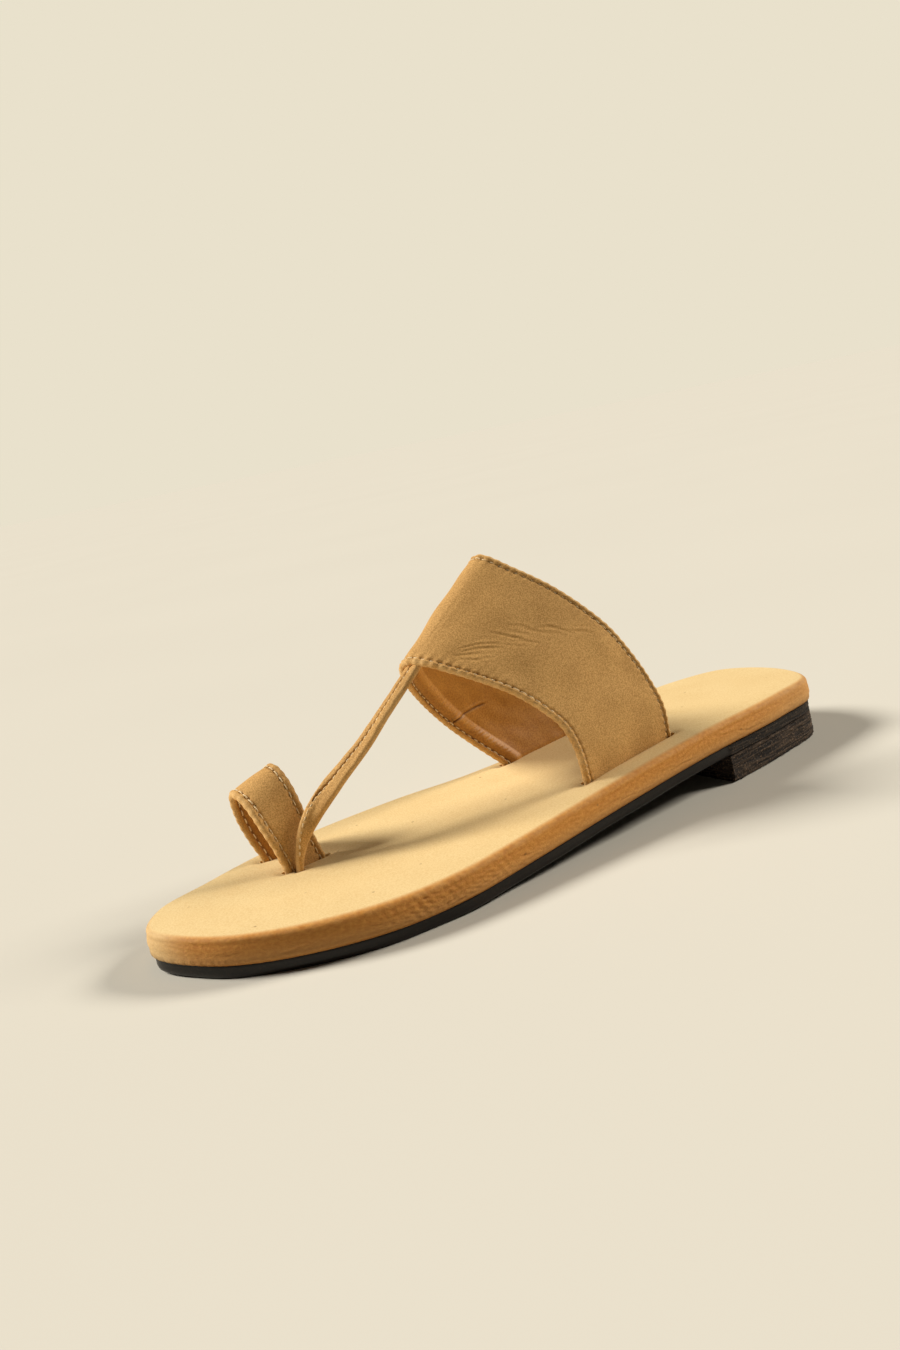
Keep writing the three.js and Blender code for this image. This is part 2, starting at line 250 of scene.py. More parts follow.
def ramp(value: Array, low: float = 0.0, high: float = 1.0) -> Array:
    """Rises smoothly from 0 at low to 1 at high.

    Args:
        value: Where to read it.
        low: Where the rise starts.
        high: Where it ends.

    Returns:
        The smooth step, between 0 and 1.
    """
    place = np.clip((np.asarray(value, float) - low) / (high - low), 0.0, 1.0)
    return place * place * (3.0 - 2.0 * place)


def bump(value: Array, centre: float, width: float) -> Array:
    """A soft rounded hill of height 1 round a centre."""
    return np.exp(-(((np.asarray(value, float) - centre) / width) ** 2))


def run_lengths(points: Array) -> Array:
    """Distance along a line of points, from its first point to each of them."""
    steps = np.linalg.norm(np.diff(points, axis=0), axis=1)
    return np.concatenate([[0.0], np.cumsum(steps)])


def unevenness(points: Array, seed: int, size: float, waves: int = 9) -> Array:
    """Gentle random rise and fall over a surface.

    Args:
        points: Places, with two or three coordinates in the last axis, in millimetres.
        seed: Fixes the pattern.
        size: Typical distance between neighbouring rises.
        waves: How many plain waves are added up.

    Returns:
        A height for each place, mostly between -1 and 1.
    """
    dice = np.random.default_rng(seed)
    total = np.zeros(points.shape[:-1])
    for _ in range(waves):
        heading = dice.normal(size=points.shape[-1])
        heading *= 2.0 * math.pi / (size * dice.uniform(0.7, 1.6) * np.linalg.norm(heading))
        total += np.sin(points @ heading + dice.uniform(0.0, 2.0 * math.pi))
    return total / math.sqrt(waves)


class SmoothPath:
    """A centripetal Catmull-Rom curve through given points, open or closed."""

    def __init__(self, points: Sequence[Sequence[float]], closed: bool = False) -> None:
        """Keeps the points, with one more beyond each end of an open curve."""
        ring = np.asarray(points, float)
        self.closed = closed
        self.spans = len(ring) if closed else len(ring) - 1
        if closed:
            self.points = np.vstack([ring[-1:], ring, ring[:2]])
        else:
            first = 2.0 * ring[0] - ring[1]
            last = 2.0 * ring[-1] - ring[-2]
            self.points = np.vstack([first, ring, last])

    def at(self, places: Array) -> Array:
        """Points of the curve.

        Args:
            places: Where to read it, from 0 at its start to 1 at its end.

        Returns:
            One point for each place.
        """
        places = np.asarray(places, float)
        scaled = (places % 1.0 if self.closed else np.clip(places, 0.0, 1.0)) * self.spans
        index = np.minimum(scaled.astype(int), self.spans - 1)
        part = (scaled - index)[:, None]
        p0, p1, p2, p3 = (self.points[index + step] for step in range(4))
        d0, d1, d2 = (
            np.sqrt(np.linalg.norm(b - a, axis=1))[:, None]
            for a, b in ((p0, p1), (p1, p2), (p2, p3))
        )
        leave = ((p1 - p0) / d0 - (p2 - p0) / (d0 + d1) + (p2 - p1) / d1) * d1
        arrive = ((p2 - p1) / d1 - (p3 - p1) / (d1 + d2) + (p3 - p2) / d2) * d1
        square = -3.0 * p1 + 3.0 * p2 - 2.0 * leave - arrive
        cube = 2.0 * p1 - 2.0 * p2 + leave + arrive
        return p1 + part * (leave + part * (square + part * cube))


@dataclass(frozen=True)
class SandalForm:
    """Sizes of the sandal's sole line, and the heights that follow from them, in millimetres.

    The sole is level behind heel_seat_front, and lies flat on the ground in front of forefoot_back.
    """

    length: float = 250.0
    outsole_thickness: float = 3.9
    footbed_thickness: float = 9.0
    heel_lift: float = 9.25
    heel_front: float = 60.0
    heel_seat_front: float = 57.0
    forefoot_back: float = 192.0
    toe_spring_back: float = 222.0
    toe_spring: float = 0.8
    gap: float = 0.3

    def y_of(self, back: Array) -> Array:
        """Y of a distance forward from the heel."""
        return self.length / 2.0 - np.asarray(back, float)

    def back_of(self, y: Array) -> Array:
        """Distance forward from the heel of a Y."""
        return self.length / 2.0 - y

    def sole_height(self, back: Array) -> Array:
        """Underside of the outsole above the ground."""
        back = np.asarray(back, float)
        slope = self.forefoot_back - self.heel_seat_front
        heel = self.heel_lift * ramp((self.forefoot_back - back) / slope)
        toe = np.maximum(0.0, (back - self.toe_spring_back) / (self.length - self.toe_spring_back))
        return heel + self.toe_spring * toe * toe

    def footbed_under(self, back: Array) -> Array:
        """Underside of the footbed above the ground."""
        return self.sole_height(back) + self.outsole_thickness

    def footbed_top(self, back: Array) -> Array:
        """Top of the footbed above the ground."""
        return self.footbed_under(back) + self.footbed_thickness

    def on_footbed(self, x: float, back: float, up: float) -> list[float]:
        """A point given by its distance from the heel and its height above the footbed."""
        return [x, float(self.y_of(back)), float(self.footbed_top(back)) + up]


@dataclass(frozen=True)
class Outline:
    """The footbed's outline seen from above, as a closed smooth curve."""

    form: SandalForm
    steps: int = 36

    def path(self) -> SmoothPath:
        """Heel point, outer edge, toe point and inner edge."""
        y_of = self.form.y_of
        outer = [(row.outer, float(y_of(row.back))) for row in OUTLINE]
        inner = [(row.inner, float(y_of(row.back))) for row in reversed(OUTLINE)]
        half = self.form.length / 2.0
        return SmoothPath([(HEEL_POINT, half), *outer, (TOE_POINT, -half), *inner], closed=True)

    def count(self) -> int:
        """Number of points round the outline."""
        return self.steps * (2 * len(OUTLINE) + 2)

    def ring(self) -> tuple[Array, Array]:
        """Points round the outline, and the way out of it at each of them."""
        places = np.arange(self.count()) / self.count()
        path = self.path()
        nudge = 0.2 / self.count()
        along = path.at(places + nudge) - path.at(places - nudge)
        along /= np.linalg.norm(along, axis=1)[:, None]
        outward = np.stack([-along[:, 1], along[:, 0]], axis=1)
        return path.at(places), outward


def add_object(name: str, data: bpy.types.ID) -> bpy.types.Object:
    """A new object in the scene, at the origin."""
    thing = bpy.data.objects.new(name, data)
    bpy.context.scene.collection.objects.link(thing)
    return thing


def make_mesh(
    name: str,
    points: Array,
    faces: list[tuple[int, ...]],
    values: dict[str, Array] | None = None,
    uv: Array | None = None,
) -> bpy.types.Object:
    """Makes a closed body with its faces pointing outwards.

    Args:
        name: Name of the piece.
        points: Its points, in millimetres.
        faces: Point numbers of each face.
        values: Numbers carried by the points, such as a mask, by name.
        uv: Surface coordinates of the points, in metres.

    Returns:
        The new object, at the origin.
    """
    mesh = bpy.data.meshes.new(name)
    mesh.from_pydata((points * MM).tolist(), [], faces)
    for key, numbers in (values or {}).items():
        layer = mesh.attributes.new(key, "FLOAT", "POINT")
        layer.data.foreach_set("value", np.asarray(numbers, np.float32).ravel())
    if uv is not None:
        corners = np.zeros(len(mesh.loops), np.int32)
        mesh.loops.foreach_get("vertex_index", corners)
        layer = mesh.uv_layers.new(name="surface")
        layer.uv.foreach_set("vector", uv[corners].astype(np.float32).ravel())
    if enclosed_volume(points, faces) < 0.0:
        mesh.flip_normals()
    mesh.shade_smooth()
    mesh.set_sharp_from_angle(angle=math.radians(SHARP_TURN))
    return add_object(name, mesh)


def enclosed_volume(points: Array, faces: list[tuple[int, ...]]) -> float:
    """Signed volume inside a closed body, negative if its faces point inwards."""
    total = 0.0
    for size in {len(face) for face in faces}:
        corners = points[np.array([face for face in faces if len(face) == size])]
        for step in range(1, size - 1):
            turned = np.cross(corners[:, step], corners[:, step + 1])
            total += float(np.einsum("ij,ij->", corners[:, 0], turned))
    return total


def tube_faces(rows: int, columns: int) -> list[tuple[int, ...]]:
    """Faces of a tube of closed sections, with a cap at each end.

    Args:
        rows: Number of sections.
        columns: Points in each section.

    Returns:
        The faces, as point numbers, with the points counted section by section.
    """
    row, column = np.meshgrid(np.arange(rows - 1), np.arange(columns), indexing="ij")
    beside = (column + 1) % columns
    quads = np.stack(
        [
            row * columns + column,
            row * columns + beside,
            (row + 1) * columns + beside,
            (row + 1) * columns + column,
        ],
        axis=-1,
    )
    faces = [tuple(quad) for quad in quads.reshape(-1, 4).tolist()]
    faces.append(tuple(range(columns - 1, -1, -1)))
    faces.append(tuple(range((rows - 1) * columns, rows * columns)))
    return faces


class Nodes:
    """Short ways to add and link the nodes of one tree."""

    def __init__(self, tree: bpy.types.NodeTree) -> None:
        """Keeps the tree that the nodes go into."""
        self.tree = tree

    def add(
        self, kind: str, values: dict[str | int, object] | None = None, **settings: object
    ) -> bpy.types.Node:
        """Adds a node of a kind, with its settings, and feeds its inputs."""
        node = self.tree.nodes.new(kind)
        for key, value in settings.items():
            setattr(node, key, value)
        self.feed_all(node, values or {})
        return node

    def first(
        self, kind: str, values: dict[str | int, object] | None = None, **settings: object
    ) -> bpy.types.NodeSocket:
        """The first output of a node that is added in the same way."""
        return self.add(kind, values, **settings).outputs[0]

    def join(self, source: bpy.types.NodeSocket, target: bpy.types.NodeSocket) -> None:
        """Links one socket to another."""
        self.tree.links.new(source, target)

    def feed(self, target: bpy.types.NodeSocket, value: object) -> None:
        """Links a socket if given one, and otherwise sets a plain value."""
        if isinstance(value, bpy.types.NodeSocket):
            self.join(value, target)
        else:
            target.default_value = value

    def feed_all(self, node: bpy.types.Node, values: dict[str | int, object]) -> None:
        """Feeds inputs of a node, by name or number."""
        for label, value in values.items():
            self.feed(node.inputs[label], value)

    def math(self, operation: str, *terms: object) -> bpy.types.NodeSocket:
        """The result of a sum on numbers or sockets."""
        return self.first("ShaderNodeMath", dict(enumerate(terms)), operation=operation)

    def mix(self, share: object, first: object, second: object) -> bpy.types.NodeSocket:
        """A mix of two colours."""
        values = {"Factor": share, 6: first, 7: second}
        return self.add("ShaderNodeMix", values, data_type="RGBA", clamp_factor=True).outputs[2]

    def spread(
        self, value: object, low: float, high: float, to: float = 1.0
    ) -> bpy.types.NodeSocket:
        """Rises smoothly from 0 to a height as a value goes from low to high."""
        values = {"Value": value, "From Min": low, "From Max": high, "To Max": to}
        return self.first("ShaderNodeMapRange", values, interpolation_type="SMOOTHSTEP")

    def noise(self, vector: object, scale: object, detail: float = 2.0) -> bpy.types.NodeSocket:
        """Soft noise, mostly between 0.3 and 0.7."""
        values = {"Vector": vector, "Scale": scale, "Detail": detail}
        return self.add("ShaderNodeTexNoise", values).outputs["Fac"]

    def coordinates(self) -> bpy.types.NodeSocket:
        """Places on a piece, in metres from its origin."""
        return self.add("ShaderNodeTexCoord").outputs["Object"]

    def stretched(self, vector: bpy.types.NodeSocket, scale: object) -> bpy.types.NodeSocket:
        """Coordinates scaled along each axis."""
        return self.first("ShaderNodeMapping", {"Vector": vector, "Scale": scale})

    def mask(self, name: str) -> bpy.types.NodeSocket:
        """A number that the points of the piece carry."""
        return self.add("ShaderNodeAttribute", attribute_name=name).outputs["Fac"]


def new_group(
    name: str, inputs: Sequence[tuple[str, str, object]], outputs: Sequence[tuple[str, str]]
) -> tuple[Nodes, bpy.types.Node, bpy.types.Node]:
    """Starts a shader node group with named sockets.

    Args:
        name: Name of the group.
        inputs: Name, kind (Color, Float or Vector) and default of each input.
        outputs: Name and kind of each output.

    Returns:
        The nodes of the group, its input node and its output node.
    """
    tree = bpy.data.node_groups.new(name, "ShaderNodeTree")
    for label, kind, value in inputs:
        socket = tree.interface.new_socket(
            label, in_out="INPUT", socket_type="NodeSocket" + kind
        )
        socket.default_value = value
    for label, kind in outputs:
        tree.interface.new_socket(label, in_out="OUTPUT", socket_type="NodeSocket" + kind)
    nodes = Nodes(tree)
    return nodes, nodes.add("NodeGroupInput"), nodes.add("NodeGroupOutput")


def srgb(red: int, green: int, blue: int) -> Colour:
    """A colour given as it looks on screen, turned into the light that it reflects."""
    shares = [value / 255.0 for value in (red, green, blue)]
    linear = [s / 12.92 if s <= 0.04045 else ((s + 0.055) / 1.055) ** 2.4 for s in shares]
    return (linear[0], linear[1], linear[2], 1.0)


class Effects:
    """Shader node groups that several finishes use, each built once."""

    def __init__(self) -> None:
        """Builds the groups."""
        self.nap = self._nap()
        self.wear = self._wear()
        self.speckle = self._speckle()

    @staticmethod
    def _nap() -> bpy.types.NodeTree:
        """Brushed nap of nubuck: fine grain, and soft clouds where it lies another way."""
        nodes, into, out = new_group(
            "brushed_nap",
            [
                ("Colour", "Color", (0.5, 0.5, 0.5, 1.0)),
                ("Brushed", "Color", (0.3, 0.3, 0.3, 1.0)),
                ("Grain Scale", "Float", 1500.0),
                ("Cloud Scale", "Float", 70.0),
                ("Grain Strength", "Float", 0.5),
                ("Cloud Strength", "Float", 0.5),
            ],
            [("Colour", "Color"), ("Height", "Float")],
        )
        place = nodes.coordinates()
        grain = nodes.noise(place, into.outputs["Grain Scale"], 3.0)
        cloud = nodes.noise(place, into.outputs["Cloud Scale"], 4.0)
        grain_share = nodes.math(
            "MULTIPLY", nodes.spread(grain, 0.3, 0.72), into.outputs["Grain Strength"]
        )
        cloud_share = nodes.math(
            "MULTIPLY", nodes.spread(cloud, 0.32, 0.7), into.outputs["Cloud Strength"]
        )
        share = nodes.math("ADD", grain_share, cloud_share)
        colour = nodes.mix(share, into.outputs["Colour"], into.outputs["Brushed"])
        height = nodes.math("SUBTRACT", grain, nodes.math("MULTIPLY", cloud, 0.6))
        nodes.feed_all(out, {"Colour": colour, "Height": height})
        return nodes.tree

    @staticmethod
    def _wear() -> bpy.types.NodeTree:
        """Lighter edges from rubbing and painted highlight; darker grooves from dirt and painted
        shade.
        """
        nodes, into, out = new_group(
            "edge_and_groove",
            [
                ("Colour", "Color", (0.5, 0.5, 0.5, 1.0)),
                ("Rubbed", "Color", (0.8, 0.8, 0.8, 1.0)),
                ("Soiled", "Color", (0.1, 0.1, 0.1, 1.0)),
                ("Rub Strength", "Float", 0.5),
                ("Soil Strength", "Float", 0.5),
            ],
            [("Colour", "Color")],
        )
        place = nodes.coordinates()
        patchy = nodes.spread(nodes.noise(place, 260.0, 3.0), 0.25, 0.7)
        # The rim mask lightens folded edges: partly rubbing, partly a painted highlight.
        rub_and_highlight = nodes.math("MULTIPLY", nodes.mask("rim"), into.outputs["Rub Strength"])
        rub_and_highlight = nodes.math("MULTIPLY", rub_and_highlight, patchy)
        # The groove mask darkens grooves, needle holes and creases: painted shade, with some dirt.
        soil_and_shade = nodes.math("MULTIPLY", nodes.mask("groove"), into.outputs["Soil Strength"])
        rubbed_and_highlit = nodes.mix(rub_and_highlight, into.outputs["Colour"], into.outputs["Rubbed"])
        nodes.join(nodes.mix(soil_and_shade, rubbed_and_highlit, into.outputs["Soiled"]), out.inputs["Colour"])
        return nodes.tree

    @staticmethod
    def _speckle() -> bpy.types.NodeTree:
        """Rubber skin: dust caught in a fine tooth, and lines left by sanding along the edge."""
        nodes, into, out = new_group(
            "sanded_rubber",
            [
                ("Colour", "Color", (0.02, 0.02, 0.02, 1.0)),
                ("Dust", "Color", (0.3, 0.25, 0.2, 1.0)),
                ("Line Strength", "Float", 0.5),
                ("Dust Strength", "Float", 0.5),
            ],
            [("Colour", "Color"), ("Height", "Float")],
        )
        place = nodes.coordinates()
        level = nodes.stretched(place, (0.06, 0.06, 1.0))
        lines = nodes.spread(nodes.noise(level, 1500.0, 3.0), 0.35, 0.68)
        tooth = nodes.noise(place, 1300.0, 2.0)
        line_share = nodes.math("MULTIPLY", lines, into.outputs["Line Strength"])
        dust = nodes.math("MULTIPLY", nodes.spread(tooth, 0.56, 0.7), into.outputs["Dust Strength"])
        share = nodes.math("ADD", dust, nodes.math("MULTIPLY", line_share, 0.35))
        colour = nodes.mix(share, into.outputs["Colour"], into.outputs["Dust"])
        nodes.feed_all(out, {"Colour": colour, "Height": nodes.math("ADD", tooth, line_share)})
        return nodes.tree


def start_material(name: str) -> tuple[bpy.types.Material, Nodes, bpy.types.Node]:
    """A new material, its nodes and its Principled shader."""
    material = bpy.data.materials.new(name)
    material.use_nodes = True
    nodes = Nodes(material.node_tree)
    return material, nodes, material.node_tree.nodes["Principled BSDF"]


def add_bump(
    nodes: Nodes, shader: bpy.types.Node, height: object, depth: float, strength: float
) -> None:
    """Roughens a shader's normal.

    Args:
        nodes: Nodes of the material.
        shader: Its Principled shader.
        height: Socket that gives the height.
        depth: Height of the relief, in metres.
        strength: Share of the relief that shows.
    """
    values = {"Strength": strength, "Distance": depth, "Height": height}
    nodes.join(nodes.first("ShaderNodeBump", values), shader.inputs["Normal"])


@dataclass(frozen=True)
class BrushedFinish:
    """Brushed synthetic leather: nap, edges lighter (rubbing, painted highlight), grooves darker
    (dirt, painted shade).
    """

    name: str
    colour: Colour
    brushed: Colour
    rubbed_and_highlit: Colour
    soiled_and_shaded: Colour
    grain_scale: float
    cloud_scale: float
    grain_strength: float
    cloud_strength: float
    rub_and_highlight_strength: float
    soil_and_shade_strength: float
    roughness: float
    specular: float
    relief: float
    relief_strength: float
    sheen: float = 0.0

    def nap(self, nodes: Nodes, effects: Effects) -> bpy.types.Node:
        """Places the nap."""
        values = {
            "Colour": self.colour,
            "Brushed": self.brushed,
            "Grain Scale": self.grain_scale,
            "Cloud Scale": self.cloud_scale,
            "Grain Strength": self.grain_strength,
            "Cloud Strength": self.cloud_strength,
        }
        return nodes.add("ShaderNodeGroup", values, node_tree=effects.nap)

    def cover(
        self,
        nodes: Nodes,
        shader: bpy.types.Node,
        effects: Effects,
        colour: bpy.types.NodeSocket,
        height: bpy.types.NodeSocket,
    ) -> None:
        """Paints edge highlight and groove shade over the wear, and gives the shader its look.

        Args:
            nodes: Nodes of the material.
            shader: Its Principled shader.
            effects: The shared effects.
            colour: Colour of the unworn surface.
            height: Relief of the surface.
        """
        values = {
            "Colour": colour,
            "Rubbed": self.rubbed_and_highlit,
            "Soiled": self.soiled_and_shaded,
            "Rub Strength": self.rub_and_highlight_strength,
            "Soil Strength": self.soil_and_shade_strength,
        }
        look = {
            "Base Color": nodes.first("ShaderNodeGroup", values, node_tree=effects.wear),
            "Roughness": self.roughness,
            "Specular IOR Level": self.specular,
            "Sheen Weight": self.sheen,
            "Sheen Tint": self.rubbed_and_highlit,
        }
        nodes.feed_all(shader, look)
        add_bump(nodes, shader, height, self.relief, self.relief_strength)

    def build(self, effects: Effects) -> bpy.types.Material:
        """Makes the material."""
        material, nodes, shader = start_material(self.name)
        nap = self.nap(nodes, effects)
        self.cover(nodes, shader, effects, nap.outputs["Colour"], nap.outputs["Height"])
        return material


@dataclass(frozen=True)
class WrapFinish(BrushedFinish):
    """The footbed's wrap: clean on top with a few flecks; on the side pulled tight and darker, partly
    painted shade.
    """

    # The side's darker, more orange colour is partly the wrap's own tone, partly painted shade and
    # warm bounce light.
    side: Colour = srgb(210, 146, 65)
    side_brushed: Colour = srgb(192, 125, 50)
    fleck: Colour = srgb(120, 82, 44)
    fleck_scale: float = 110.0
    fleck_strength: float = 0.5
    pull_stretch: tuple[float, float, float] = (0.6, 1.0, 1.0)
    pull_scale: float = 1100.0
    pull_relief: float = 1.6

    def build(self, effects: Effects) -> bpy.types.Material:
        """Makes the material."""
        material, nodes, shader = start_material(self.name)
        top = self.nap(nodes, effects)
        surface = nodes.first("ShaderNodeUVMap", uv_map="surface")
        grain = nodes.noise(nodes.stretched(surface, self.pull_stretch), self.pull_scale, 4.0)
        side = nodes.mix(nodes.spread(grain, 0.3, 0.72), self.side_brushed, self.side)
        side_mask = nodes.mask("side")
        base = nodes.mix(side_mask, top.outputs["Colour"], side)
        base = self.flecked(nodes, base)
        pulled = nodes.math("MULTIPLY", nodes.math("MULTIPLY", grain, side_mask), self.pull_relief)
        height = nodes.math("ADD", top.outputs["Height"], pulled)
        self.cover(nodes, shader, effects, base, height)
        return material

    def flecked(self, nodes: Nodes, base: bpy.types.NodeSocket) -> bpy.types.NodeSocket:
        """A colour with small dark flecks scattered over it."""
        values = {"Vector": nodes.coordinates(), "Scale": self.fleck_scale}
        cells = nodes.add("ShaderNodeTexVoronoi", values)
        spots = nodes.math("SUBTRACT", 1.0, nodes.spread(cells.outputs["Distance"], 0.03, 0.065))
        return nodes.mix(nodes.math("MULTIPLY", spots, self.fleck_strength), base, self.fleck)


# In each finish the lighter edge colour is partly painted highlight, and the darker groove colour
# partly painted shade.
NUBUCK = BrushedFinish(
    name="strap_nubuck",
    colour=srgb(222, 175, 107),
    brushed=srgb(180, 135, 75),
    rubbed_and_highlit=srgb(232, 196, 138),
    soiled_and_shaded=srgb(84, 50, 22),
    grain_scale=2500.0,
    cloud_scale=70.0,
    grain_strength=1.0,
    cloud_strength=0.22,
    rub_and_highlight_strength=0.55,
    soil_and_shade_strength=0.55,
    roughness=0.78,
    specular=0.3,
    relief=0.00018,
    relief_strength=0.5,
    sheen=0.12,
)
LINING = BrushedFinish(
    name="strap_lining",
    colour=srgb(187, 132, 52),
    brushed=srgb(158, 104, 34),
    rubbed_and_highlit=srgb(214, 165, 85),
    soiled_and_shaded=srgb(60, 32, 8),
    grain_scale=1900.0,
    cloud_scale=120.0,
    grain_strength=0.95,
    cloud_strength=0.3,
    rub_and_highlight_strength=0.6,
    soil_and_shade_strength=0.6,
    roughness=0.56,
    specular=0.4,
    relief=0.00012,
    relief_strength=0.4,
)
WRAP = WrapFinish(
    name="footbed_wrap",
    colour=srgb(224, 199, 148),
    brushed=srgb(209, 179, 125),
    rubbed_and_highlit=srgb(240, 208, 150),
    soiled_and_shaded=srgb(110, 72, 34),
    grain_scale=1900.0,
    cloud_scale=45.0,
    grain_strength=0.7,
    cloud_strength=0.25,
    rub_and_highlight_strength=0.4,
    soil_and_shade_strength=0.6,
    roughness=0.72,
    specular=0.3,
    relief=0.0002,
    relief_strength=0.5,
)


@dataclass(frozen=True)
class RubberFinish:
    """Black rubber, smooth on the outsole and sanded round the heel."""

    name: str
    colour: Colour
    dust: Colour
    roughness: float
    sanded_roughness: float = 0.85
    lines: float = 0.9
    dustiness: float = 0.6
    least: float = 0.12

    def build(self, effects: Effects) -> bpy.types.Material:
        """Makes the material."""
        material, nodes, shader = start_material(self.name)
        sanded = nodes.math("MAXIMUM", nodes.mask("sanded"), self.least)
        values = {
            "Colour": self.colour,
            "Dust": self.dust,
            "Line Strength": nodes.math("MULTIPLY", sanded, self.lines),
            "Dust Strength": nodes.math("MULTIPLY", sanded, self.dustiness),
        }
        skin = nodes.add("ShaderNodeGroup", values, node_tree=effects.speckle)
        rough = nodes.spread(sanded, self.least, 0.9, self.sanded_roughness - self.roughness)
        look = {
            "Base Color": skin.outputs["Colour"],
            "Roughness": nodes.math("ADD", rough, self.roughness),
            "Specular IOR Level": 0.3,
        }
        nodes.feed_all(shader, look)
        height = nodes.math("MULTIPLY", skin.outputs["Height"], sanded)
        add_bump(nodes, shader, height, 0.0004, 0.7)
        return material


@dataclass(frozen=True)
class ThreadFinish:
    """Light tan sewing thread."""

    colour: Colour = srgb(244, 222, 178)
    shade: Colour = srgb(214, 182, 130)
    roughness: float = 0.6

    def build(self) -> bpy.types.Material:
        """Makes the material."""
        material, nodes, shader = start_material("stitching")
        twist = nodes.spread(nodes.noise(nodes.coordinates(), 3000.0, 1.0), 0.35, 0.65)
        colour = nodes.mix(twist, self.colour, self.shade)
        nodes.feed_all(shader, {"Base Color": colour, "Roughness": self.roughness})
        add_bump(nodes, shader, twist, 0.0001, 0.4)
        return material


class Finishes:
    """Every material of the sandal, by the slot that it fills."""

    def __init__(self) -> None:
        """Builds the shared effects and the materials."""
        effects = Effects()
        outsole = RubberFinish("outsole_rubber", srgb(19, 16, 14), srgb(96, 78, 60), 0.36)
        heel = RubberFinish(
            "heel_rubber", srgb(26, 21, 19), srgb(116, 94, 74), 0.85, lines=1.1, dustiness=0.8
        )
        self.of = {
            Slot.OUTSOLE: outsole.build(effects),
            Slot.HEEL: heel.build(effects),
            Slot.FOOTBED: WRAP.build(effects),
            Slot.NUBUCK: NUBUCK.build(effects),
            Slot.LINING: LINING.build(effects),
            Slot.THREAD: ThreadFinish().build(),
        }

    def dress(self, piece: bpy.types.Object, slot: Slot, *nodes: str) -> None:
        """Gives a finished piece its material, ties it to the frame and reports it.

        Args:
            piece: The finished piece.
            slot: Material slot that it takes its finish from.
            nodes: CAD nodes that it stands for.
        """
        piece.data.materials.clear()
        piece.data.materials.append(self.of[slot])
        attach(piece, BODY)
        if nodes:
            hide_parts(*nodes)
        LOG.info("%s: %d faces, slot %s", piece.name, len(piece.data.polygons), slot.value)


@dataclass(frozen=True)
class SeamLine:
    """A line of stitches: where it runs, and the way out of the surface there."""

    points: Array
    outward: Array


